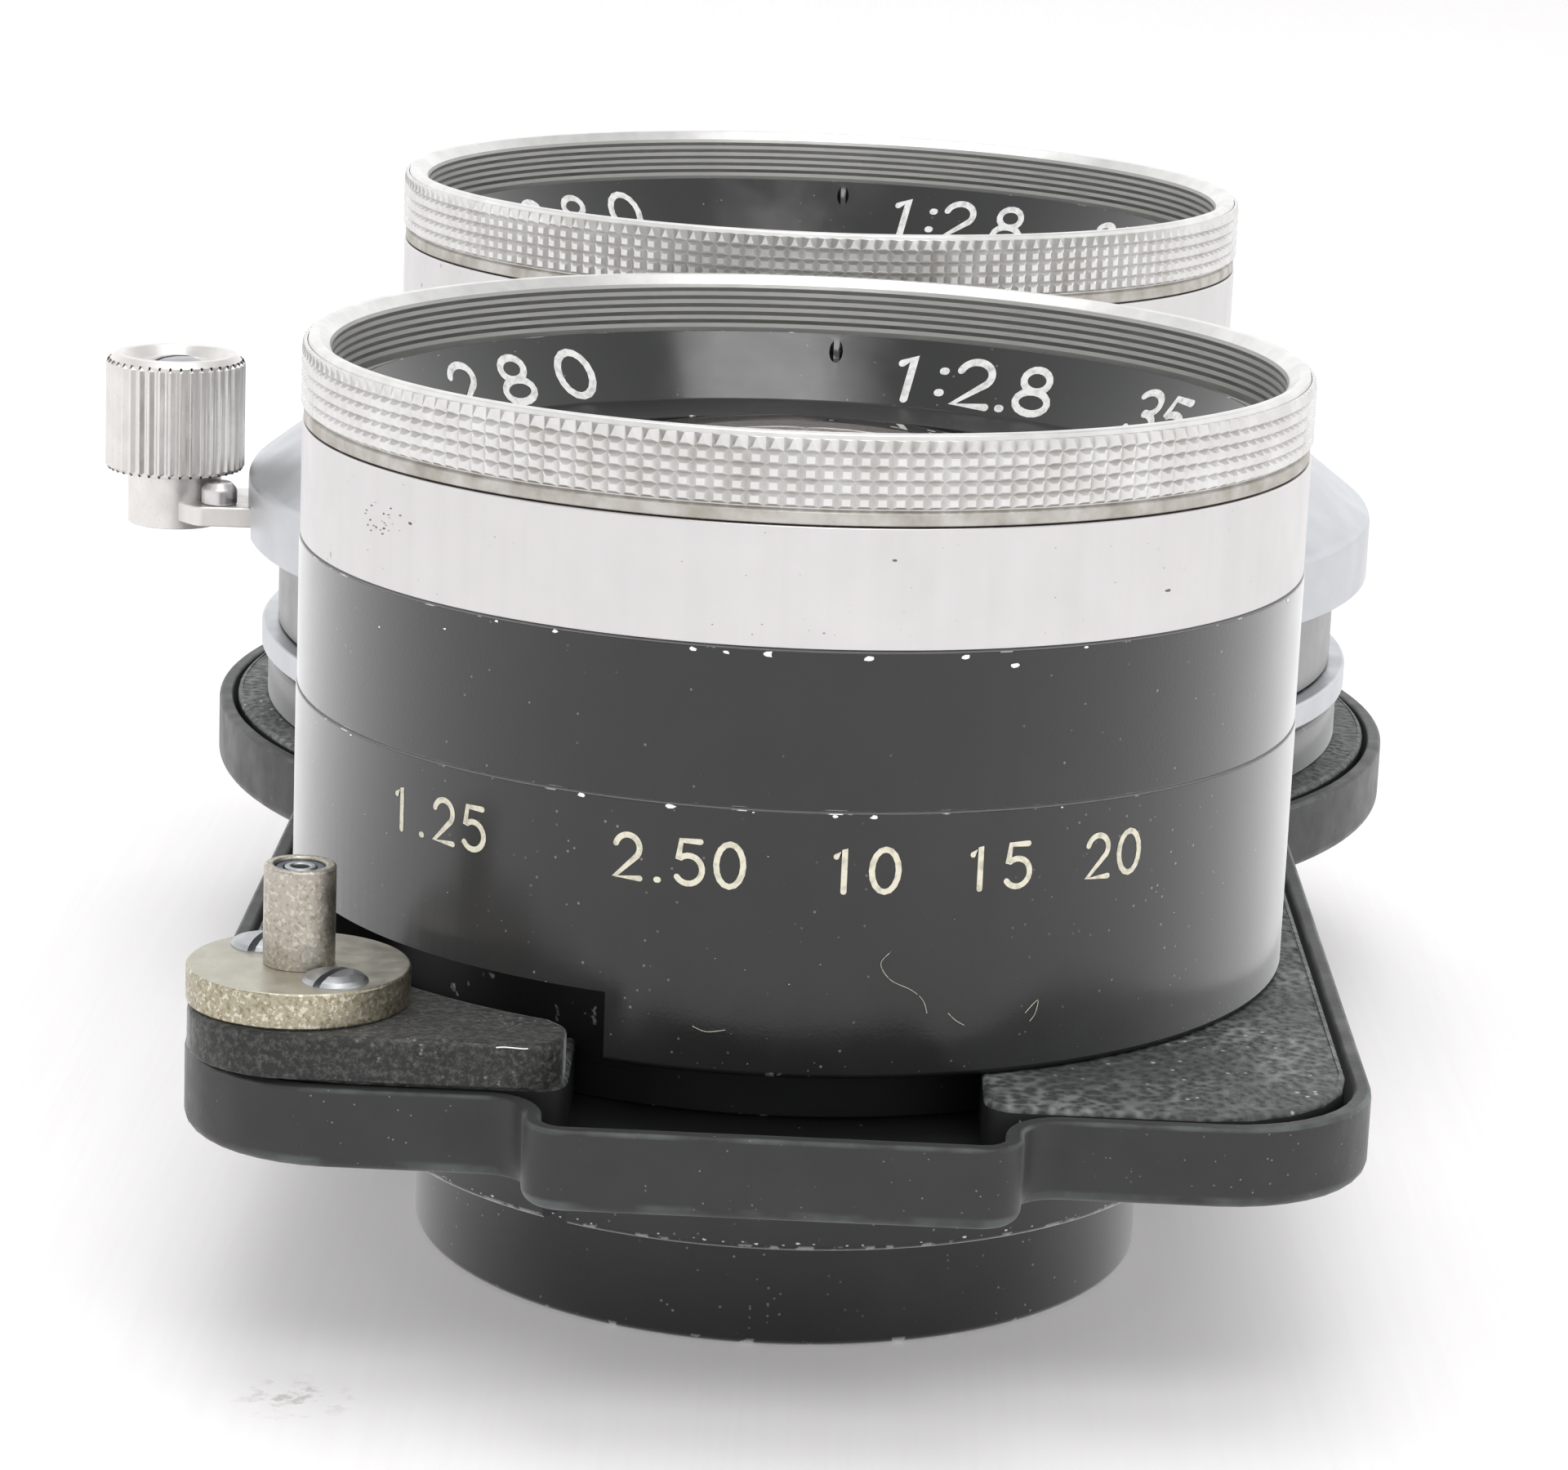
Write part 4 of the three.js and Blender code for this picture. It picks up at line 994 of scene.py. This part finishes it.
def shutter():
    clear = round_cutter(VIEWING.x, VIEWING.y, SHUTTER_CUT, 8, 44)
    seat = [*BOARD_SEAT, (31.9, 15.2), (31.9, 17.8, 0.3), (16.6, 17.8)]
    turned("taking_seat", TAKING, seat, BLACK, cutters=[clear])
    plate = [(16.7, 17.8), (31.2, 17.8), (31.2, 18.1), (32.3, 18.1), (32.3, 19.6), (16.7, 19.6)]
    turned("shutter_back_plate", TAKING, plate, SHELL, 0.2, cutters=[clear])
    case = [(12.6, 19.7), (31.35, 19.7), (31.35, 26.7), (23.9, 26.7), (23.9, 22.6), (23.3, 22.6)]
    case += [(23.3, 20.3), (12.6, 20.3)]
    slots = [
        sector(TAKING, 22, 33, *COCK_SLOT, 24.95, 28),
        sector(TAKING, 22, 33, *APERTURE_SLOT, 20.75, 22.15),
        sector(TAKING, 24.6, 33, *RELEASE_SLOT, 23.3, 24.7),
        sector(TAKING, 26.4, 33, *SYNC_SLOT, 25.0, 28),
    ]
    turned("shutter_case", TAKING, case, GREY, cutters=[clear, *slots])
    (shoulder_r, shoulder_h), (neck_r, neck_h) = SHUTTER_SLOPE
    housing = [(20.4, 25.0), (21.7, 25.0), (21.7, 26.8), (31.55, 26.8), (31.55, 24.8)]
    housing += [(shoulder_r, 24.8), (shoulder_r, shoulder_h, 0.8), (neck_r, neck_h, 0.6)]
    housing += [(23.0, neck_h), (23.0, 27.1), (20.4, 27.1)]
    skirt = [sector(TAKING, 29, 35, *arc, 24, 26.65) for arc in (COCK_SLOT, SYNC_SLOT)]
    turned("shutter_front_housing", TAKING, housing, SHELL, 0.15, cutters=[clear, *skirt])
    blades = rectangle(12.6, 23.75, 22.6, 23.1)
    turned("shutter_blade_plate", TAKING, blades, BLACK_INSIDE_AND_SHADE, 0.05)
    for kind in ("iris", "shutter"):
        for i in range(1, 6):
            refinish(f"{kind}_blade_{i}", BLADE)


def ribbed_outline(x, y, outer, inner, ribs):
    """A straight-knurled outline: a valley and a flat crest for each rib."""
    points = []
    for i in range(ribs):
        for part, r in ((0.0, inner), (0.25, outer), (0.5, outer)):
            t = tau * (i + part) / ribs
            points.append((x + r * cos(t), y + r * sin(t)))
    return points


def cocking_parts():
    z0, z1 = 25.2, 26.4
    arm = [(22.4, -2.8), (COCK_REACH, -2.2), (COCK_REACH, 2.2), (36, 4.0, 0.8), (31, 4.0, 0.8), (22.4, 2.8)]
    ring = rectangle(21.85, 23.65, z0, z1)
    boss = [(0, 24.7), (2.75, 24.7), (2.75, 27.9, 0.2), (0, 27.9)]
    chunks = slab(moved(arm, TAKING, COCK_ANGLE), z0 + 0.01, z1 - 0.01, 0.12, 0.3)
    chunks += [lathe(TAKING, ring, 0.08), lathe(KNOB, boss, 0.1, 64)]
    piece_for("cocking_lever", chunks, NICKEL)
    sides = [(-0.22, 27.95), (0.0, 28.2, 0.06), (0.0, 34.25, 0.06), (-0.22, 34.5)]
    outline = [p[:4] for p in rounded(ribbed_outline(KNOB.x, KNOB.y, 4.1, 3.84, 40), 0.06, 2)]
    core = [(0, 27.95), (3.9, 27.95), (3.9, 34.45, 0.1), (3.55, 34.8, 0.12)]
    core += [(3.1, 34.8, 0.12), (2.6, 34.1, 0.3), (0, 34.1)]
    knurled = sweep(outline, rounded(sides, 0.05, closed=False), False)
    piece_for("cocking_knob", [knurled, lathe(KNOB, core, 0.1, 96)], NICKEL)
    slotted_screw("cocking_knob_screw", KNOB, 34.13, 1.6, 35)
    stud = [(0, z1), (1.05, z1), (1.05, 27.3, 0.4), (0.7, 27.7, 0.4), (0, 27.8)]
    turned("cocking_stop_pin", centre("cocking_stop_pin"), stud, BRIGHT, 0.1, SMALL)


def lever(node, pivot, angle, eye, reach, root, tip, hole, h0, h1):
    """A finger lever pointing outwards from its pivot, which is that far from the taking axis."""
    outline = arc_points(0, 0, eye, 60, 300, 20)
    outline += [(eye, -root, 0.4), (reach - tip, -tip)]
    outline += arc_points(reach - tip, 0, tip, -80, 80, 14) + [(reach - tip, tip), (eye, root, 0.4)]
    x = TAKING.x + pivot * cos(radians(angle))
    y = TAKING.y + pivot * sin(radians(angle))
    chunks = slab(moved(outline, (x, y), angle), h0, h1, 0.12, 0.3, [(x, y, hole)])
    piece_for(node, chunks, SHELL)


def taking_lens():
    rear_parts("taking", TAKING)
    front_parts("taking", TAKING, TAKING_LIFT)
    band("taking_band", TAKING, TAKING_LIFT)
    shutter()
    cocking_parts()
    lever("release_lever", pivot=26.9, angle=66, eye=1.9, reach=10.2,
          root=1.5, tip=1.7, hole=0.88, h0=23.5, h1=24.5)
    lever("sync_lever", pivot=28.2, angle=48, eye=1.25, reach=7.8,
          root=0.9, tip=1.1, hole=0.68, h0=25.2, h1=26.2)
    ring = rectangle(19.0, 23.1, 20.6, 22.2)
    arm = rectangle(22.4, 34.6, -1.75, 1.75)
    pad = [(34.2, -2.6, 0.5), (36.4, -2.6, 0.8), (36.4, 2.6, 0.8), (34.2, 2.6, 0.5)]
    chunks = [lathe(TAKING, ring, 0.1)]
    chunks += slab(moved(arm, TAKING, LEVER_ANGLE), 20.9, 22.0, 0.1)
    chunks += slab(moved(pad, TAKING, LEVER_ANGLE), 20.7, 22.6, 0.2)
    piece_for("aperture_ring", chunks, BLACK)
    speed = [(22.45, 32.2), (SPEED_RADIUS, 32.2), (SPEED_RADIUS, 34.7, 0.1)]
    speed += [(24.7, 35.3, 0.1), (22.45, 35.3)]
    turned("speed_ring", TAKING, speed, SHELL, 0.1)
    barrel = [(20.2, 27.2), (22.35, 27.2), (22.35, 35.6), (BAND_RADIUS, 35.6), (BAND_RADIUS, 36.8)]
    barrel += [(23.25, 36.8), (23.25, 40.7), (22.25, 40.7), (22.25, 37.8), (20.2, 37.8)]
    turned("taking_barrel", TAKING, barrel, BLACK)
    cell = [(13, 27.2), (20.1, 27.2), (20.1, 37.8), (15.2, 37.8)]
    cell += [(15.2, 34.5), (14, 34.5), (14, 28), (13, 28)]
    turned("taking_front_cell", TAKING, cell, BLACK_INSIDE_AND_SHADE)
    rear = [(14.7, 10.5), (16.5, 10.5), (16.5, 19.6), (13, 19.6), (13, 17.4), (14.7, 17.4)]
    turned("taking_rear_cell", TAKING, rear, BLACK_INSIDE_AND_SHADE)
    element("taking_rear_group", TAKING, 14.6, 13.5, 1.4, 16.5, 0.6, INNER_GLASS)
    element("taking_second_element", TAKING, 13.8, 29.5, -0.9, 32, 0.9, INNER_GLASS)


# ---- engraved numbers


DIGIT = 0.62  # a digit's width; its height is 1
GLYPHS = {
    "0": [oval(0.31, 0.5, 0.31, 0.5, 90, 450)],
    "1": [[(0.12, 0.82), (0.31, 1.0), (0.31, 0.0)]],
    "2": [oval(0.31, 0.70, 0.29, 0.30, 165, -35) + [(0.02, 0.0), (0.62, 0.0)]],
    "3": [oval(0.30, 0.75, 0.26, 0.25, 150, -90), oval(0.30, 0.26, 0.31, 0.26, 90, -150)],
    "4": [[(0.46, 0.0), (0.46, 1.0), (0.0, 0.28), (0.62, 0.28)]],
    "5": [[(0.56, 1.0), (0.12, 1.0), (0.06, 0.56)] + oval(0.30, 0.33, 0.32, 0.33, 130, -145)],
    "6": [oval(0.58, 0.34, 0.56, 0.66, 98, 180, 8) + oval(0.31, 0.31, 0.29, 0.31, 180, 540)],
    "8": [oval(0.31, 0.75, 0.25, 0.25, -90, 270), oval(0.31, 0.25, 0.31, 0.25, 90, 450)],
    ".": [[(0.08, 0.02), (0.12, 0.02)]],
    ":": [[(0.08, 0.22), (0.12, 0.22)], [(0.08, 0.72), (0.12, 0.72)]],
    " ": [],
}
WIDTHS = {".": 0.2, ":": 0.2, " ": 0.3}


def stroke(line, width):
    """A line as a strip with round ends: flat points and faces."""
    points, faces = [], []
    count = len(line)
    for i, (x, y) in enumerate(line):
        before, after = line[max(i - 1, 0)], line[min(i + 1, count - 1)]
        d = Vector((after[0] - before[0], after[1] - before[1])).normalized()
        points += [(x - d.y * width / 2, y + d.x * width / 2), (x + d.y * width / 2, y - d.x * width / 2)]
        if i:
            k = 2 * i
            faces.append((k - 2, k - 1, k + 1, k))
    for (x, y), (bx, by) in ((line[0], line[1]), (line[-1], line[-2])):
        away = atan2(y - by, x - bx)
        first = len(points)
        for t in range(-3, 4):
            turn = away + t * pi / 6
            points.append((x + width / 2 * cos(turn), y + width / 2 * sin(turn)))
        faces.append(tuple(range(first, first + 7)))
    return points, faces


def lettered(text, height, width, gap, place, wide=1.0):
    """Numbers as strokes, centred, with place(u, v) giving each point and its normal on the surface."""
    advance = [WIDTHS.get(c, DIGIT) * height * wide + gap for c in text]
    u = -(sum(advance) - gap) / 2
    points, faces, normals = [], [], []
    for c, step in zip(text, advance):
        for line in GLYPHS[c]:
            flat_points, flat_faces = stroke([(u + x * height * wide, y * height) for x, y in line], width)
            first = len(points)
            for a, b in flat_points:
                p, n = place(a, b)
                points.append(p)
                normals.append(n)
            faces += [tuple(first + k for k in f) for f in flat_faces]
        u += step
    return points, faces, normals, [0.0] * len(points)


def on_cylinder(axis, r, angle, h, lift=0.015):
    """Read from outside: u runs to the right of someone facing the wall, v runs up."""

    def place(u, v):
        t = radians(angle) + u / r
        c, s = cos(t), sin(t)
        return (axis.x + (r + lift) * c, axis.y + (r + lift) * s, h + v + FLOOR_Z), (c, s, 0.0)

    return place


def on_slope(axis, low, high, angle, start, side, lift=0.02):
    """On a cone from low to high, each (radius, height): side is 1 outside it and -1 inside."""
    slope = Vector((high[0] - low[0], high[1] - low[1])).normalized()

    def place(u, v):
        r = low[0] + slope.x * (start + v)
        h = low[1] + slope.y * (start + v)
        t = radians(angle) + side * u / r
        c, s = cos(t), sin(t)
        normal = (side * slope.y * c, side * slope.y * s, -side * slope.x)
        at = (axis.x + r * c + normal[0] * lift, axis.y + r * s + normal[1] * lift)
        return (*at, h + FLOOR_Z + normal[2] * lift), normal

    return place


def ring_numbers(prefix, axis, lift, texts):
    cone = [(r, h + lift) for r, h in (NAME_LOW, NAME_HIGH)]
    chunks = [lettered(t, 2.5, 0.42, 0.5, on_slope(axis, *cone, a, 0.45, -1), 1.25) for t, a in texts]
    detail_on(prefix + "_name_ring_numbers", prefix + "_name_ring", chunks, WHITE)


def numbers():
    scale = [("1.25", -130.8), ("2.50", -101.2), ("10", -81.7), ("15  20", -60.0)]
    places = [(t, on_cylinder(VIEWING, BARREL_RADIUS, a, 23.95)) for t, a in scale]
    chunks = [lettered(t, 1.95, 0.27, 0.62, place) for t, place in places]
    detail_on("barrel_numbers", "viewing_barrel", chunks, CREAM)
    both = [("2 8 0", 137), ("1:2.8", 65.6), ("35", 31)]
    ring_numbers("viewing", VIEWING, 0.0, both + [("250", 195), ("100", 285)])
    ring_numbers("taking", TAKING, TAKING_LIFT, both + [("100", 200), ("10", 290)])
    speeds = ["1", "2", "4", "8", "15", "30", "60", "125", "250", "500"]
    places = [(t, on_cylinder(TAKING, SPEED_RADIUS, SPEED_START + SPEED_STEP * i, 32.85))
              for i, t in enumerate(speeds)]
    chunks = [lettered(t, 1.2, 0.16, 0.22, place) for t, place in places]
    detail_on("speed_numbers", "speed_ring", chunks, BLACK)
    stops = ["2.8", "4", "5.6", "8", "11", "16", "22"]  # the lever stands at the first with the iris open
    chunks = []
    for i, t in enumerate(stops):
        angle = LEVER_ANGLE + LEVER_TRAVEL / 6 * i
        chunks.append(lettered(t, 1.5, 0.18, 0.25, on_slope(TAKING, *SHUTTER_SLOPE, angle, 2.0, 1)))
        chunks.append(lettered("1", 0.9, 0.16, 0.2, on_slope(TAKING, *SHUTTER_SLOPE, angle, 0.6, 1)))
    detail_on("aperture_numbers", "shutter_front_housing", chunks, BLACK)


# ---- wear, lint and dust


def flake(place, u, v, size, rng):
    """A small ragged chip lying on a surface."""
    count = 7
    points, normals = [], []
    for k in range(count):
        r = size * rng.uniform(0.45, 1.0)
        t = tau * k / count
        p, n = place(u + 1.4 * r * cos(t), v + 0.7 * r * sin(t))
        points.append(p)
        normals.append(n)
    return points, [tuple(range(count))], normals, [0.0] * count


def fibre(points, radius, sides=5):
    """A hair-thin curved tube through points."""
    smooth = []
    for i in range(len(points) - 1):
        p0, p1 = points[max(i - 1, 0)], points[i]
        p2, p3 = points[i + 1], points[min(i + 2, len(points) - 1)]
        for k in range(5):
            t = k / 5
            bend = (2 * p0 - 5 * p1 + 4 * p2 - p3) * t**2
            smooth.append(0.5 * (2 * p1 + (p2 - p0) * t + bend + (3 * p1 - p0 - 3 * p2 + p3) * t**3))
    smooth.append(points[-1])
    verts, faces, normals = [], [], []
    for i, p in enumerate(smooth):
        d = (smooth[min(i + 1, len(smooth) - 1)] - smooth[max(i - 1, 0)]).normalized()
        side = d.orthogonal().normalized()
        for k in range(sides):
            n = Matrix.Rotation(tau * k / sides, 3, d) @ side
            verts.append(tuple(p + n * radius))
            normals.append(tuple(n))
        if i:
            a, b = (i - 1) * sides, i * sides
            faces += [(a + k, a + (k + 1) % sides, b + (k + 1) % sides, b + k) for k in range(sides)]
    return verts, faces, normals, [0.0] * len(verts)


def flakes_on(place, r, marks, rng):
    """Flakes at (angle, height, size) on a cylinder."""
    return [flake(place, radians(a) * r, h, size, rng) for a, h, size in marks]


def barrel_wear(rng):
    top = on_cylinder(VIEWING, FOCUS_RADIUS, 0, 0, 0.02)
    chips = [(-115.7, 34.66, 0.18), (-100.5, 34.6, 0.2), (-96.9, 34.55, 0.14), (-92.7, 34.58, 0.26)]
    chips += [(-82.2, 34.5, 0.26), (-72.0, 34.56, 0.22), (-66.5, 34.1, 0.2), (-130.2, 33.8, 0.09)]
    chips += [(-123.0, 34.66, 0.1), (-58.0, 34.68, 0.1), (-141.2, 33.0, 0.07), (-20.0, 34.6, 0.2)]
    chips += [(20.0, 34.6, 0.15)]
    detail_on("focus_ring_chips", "viewing_focus_ring", flakes_on(top, FOCUS_RADIUS, chips, rng), CHIP)
    seam = on_cylinder(VIEWING, BARREL_RADIUS, 0, 0, 0.02)
    chips = [(-112.1, 27.42, 0.17), (-102.3, 27.42, 0.24), (-85.0, 27.4, 0.14), (-81.0, 27.38, 0.16)]
    chips += [(-146.7, 27.4, 0.1), (-93.5, 27.42, 0.08), (-60.0, 27.42, 0.07), (40.0, 27.4, 0.18)]
    chunks = flakes_on(seam, BARREL_RADIUS, chips, rng)
    for _ in range(70):
        a, h = rng.uniform(-160, -20), 15.7 + 10 * rng.random() ** 2.5
        if a < -107 and h < 18.8:  # over the notch
            continue
        chunks.append(flake(seam, radians(a) * BARREL_RADIUS, h, rng.uniform(0.012, 0.035), rng))
    detail_on("barrel_specks", "viewing_barrel", chunks, CHIP)


def lint(rng):
    lines = [
        [(-78.6, 21.2), (-79.6, 20.64), (-78.5, 19.9), (-76.2, 19.4), (-74.9, 18.9), (-74.4, 18.3)],
        [(-72.1, 18.26), (-71.2, 17.9), (-70.2, 17.64)],
        [(-63.2, 17.98), (-62.2, 18.4), (-61.7, 18.49), (-62.0, 17.9), (-62.6, 17.57)],
        [(-99.0, 17.4), (-97.5, 17.2), (-95.5, 17.35)],
    ]
    wall = on_cylinder(VIEWING, BARREL_RADIUS, 0, 0, 0.05)
    chunks = []
    for line in lines:
        points = [Vector(wall(radians(a) * BARREL_RADIUS, h)[0]) for a, h in line]
        chunks.append(fibre(points, 0.018))
    detail_on("barrel_lint", "viewing_barrel", chunks, LINT)
    chunks = []
    for _ in range(60):
        x, y = rng.uniform(-9.5, 9.0), rng.uniform(-27.0, -25.5)
        points = [Vector((x + VIEWING.x, y + VIEWING.y, BOARD_FLOOR + 0.05 + FLOOR_Z))]
        for _ in range(3):
            step = Vector((rng.uniform(-0.4, 0.4), rng.uniform(-0.3, 0.3), rng.uniform(0, 0.12)))
            points.append(points[-1] + step)
        chunks.append(fibre(points, rng.uniform(0.012, 0.028)))
    detail_on("board_lint", "lens_board", chunks, LINT)


def wear():
    rng = random.Random(7)
    barrel_wear(rng)
    lint(rng)
    for prefix, axis in (("viewing", VIEWING), ("taking", TAKING)):
        low_edge = on_cylinder(axis, FLANGE_RADIUS, 0, 0, 0.015)
        chunks = []
        for a in range(-176, 184, 2):
            size = rng.choice((0.0, 0.0, 0.04, 0.06, 0.10))
            if size:
                u = radians(a + rng.uniform(-0.6, 0.6)) * FLANGE_RADIUS
                chunks.append(flake(low_edge, u, rng.uniform(5.92, 6.02), size, rng))
        detail_on(prefix + "_lock_ring_wear", prefix + "_lock_ring", chunks, RUB)
    wall = on_cylinder(VIEWING, BAND_RADIUS, 0, 0, 0.012)
    marks = [(-80, 38.9, 0.1), (-47, 36.8, 0.14), (-87, 35.6, 0.06), (-136.2, 38.2, 0.12)]
    for count, around, up, sizes in (
        (26, (-145, -138), (37.3, 38.7), (0.03, 0.09)),
        (50, (-150, -30), (35.2, 40), (0.015, 0.04)),
    ):
        marks += [(rng.uniform(*around), rng.uniform(*up), rng.uniform(*sizes)) for _ in range(count)]
    detail_on("band_pits", "viewing_band", flakes_on(wall, BAND_RADIUS, marks, rng), PIT)


# ---- the set

CAMERA_AT = (1.30, -246.43, 68.15)
CAMERA_YAW, CAMERA_PITCH, CAMERA_ROLL = -0.87, 13.61, 2.26
FOCAL = 106.29
SHIFT = (0.0201, -0.0102)


def camera():
    data = bpy.data.cameras.new("view")
    data.sensor_width = 36.0
    data.lens = FOCAL
    data.shift_x, data.shift_y = SHIFT
    data.clip_start, data.clip_end = 0.01, 20.0
    yaw, pitch, roll = (radians(v) for v in (CAMERA_YAW, CAMERA_PITCH, CAMERA_ROLL))
    ahead = Vector((sin(yaw) * cos(pitch), cos(yaw) * cos(pitch), -sin(pitch)))
    right = Vector((cos(yaw), -sin(yaw), 0))
    up = right.cross(ahead)
    right, up = right * cos(roll) + up * sin(roll), up * cos(roll) - right * sin(roll)
    made = in_scene("view", data)
    facing = Matrix((right, up, -ahead)).transposed().to_4x4()
    made.matrix_world = Matrix.Translation(Vector(CAMERA_AT) * MM) @ facing
    bpy.context.scene.camera = made


def area_light(name, at, toward, size, power):
    data = bpy.data.lights.new(name, "AREA")
    data.shape = "RECTANGLE"
    data.size, data.size_y = size
    data.energy = power
    made = in_scene(name, data)
    made.location = at
    made.rotation_euler = (Vector(toward) - Vector(at)).to_track_quat("-Z", "Y").to_euler()


FRONT_LIGHT, BACK_LIGHT, CEILING_SHARE = 1.04, 1.30, 0.55


def surroundings():
    world = bpy.data.worlds.new("studio")
    bpy.context.scene.world = world
    world.use_nodes = True
    tree = world.node_tree
    back = tree.nodes["Background"]
    place = tree.nodes.new("ShaderNodeTexCoord")
    parts = tree.nodes.new("ShaderNodeSeparateXYZ")
    tree.links.new(place.outputs["Generated"], parts.inputs[0])
    strength = tree.nodes.new("ShaderNodeMath")
    strength.operation = "MULTIPLY"
    ranges = (("Y", -1.0, 0.4, FRONT_LIGHT, BACK_LIGHT), ("Z", 0.35, 0.85, 1.0, CEILING_SHARE))
    for socket, (axis, low, high, at_low, at_high) in zip(strength.inputs, ranges):
        ramp = tree.nodes.new("ShaderNodeMapRange")
        ramp.interpolation_type = "SMOOTHSTEP"
        for name, value in (("From Min", low), ("From Max", high), ("To Min", at_low), ("To Max", at_high)):
            ramp.inputs[name].default_value = value
        tree.links.new(parts.outputs[axis], ramp.inputs["Value"])
        tree.links.new(ramp.outputs[0], socket)
    tree.links.new(strength.outputs[0], back.inputs["Strength"])
    back.inputs["Color"].default_value = (0.99, 0.995, 1.0, 1)
    area_light("overhead", (-0.05, 0.06, 0.8), (-0.01, 0.0, 0), (0.36, 0.8), 2.0)
    area_light("front_softbox", (0.10, -0.50, 0.64), (0, 0, 0), (0.62, 0.24), 1.7)


def floor():
    size, cells = 3.0, 24
    step = size / cells
    points, faces = [], []
    for j in range(cells + 1):
        for i in range(cells + 1):
            points.append((i * step - size / 2, j * step - size / 2, FLOOR_Z * MM))
    for j in range(cells):
        for i in range(cells):
            a = j * (cells + 1) + i
            faces.append((a, a + 1, a + cells + 2, a + cells + 1))
    mesh = bpy.data.meshes.new("floor")
    mesh.from_pydata(points, [], faces)
    mesh.materials.append(paper_white("sweep"))
    made = in_scene("floor", mesh)
    made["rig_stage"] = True


camera()
surroundings()
floor()
lens_board()
board_cover()
terminal()
viewing_lens()
taking_lens()
numbers()
wear()
bpy.context.scene.view_settings.view_transform = "Standard"

boxes = {"cad": CAD_BOX, "visual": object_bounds()}
{name: [list(corner) for corner in box] for name, box in boxes.items()}
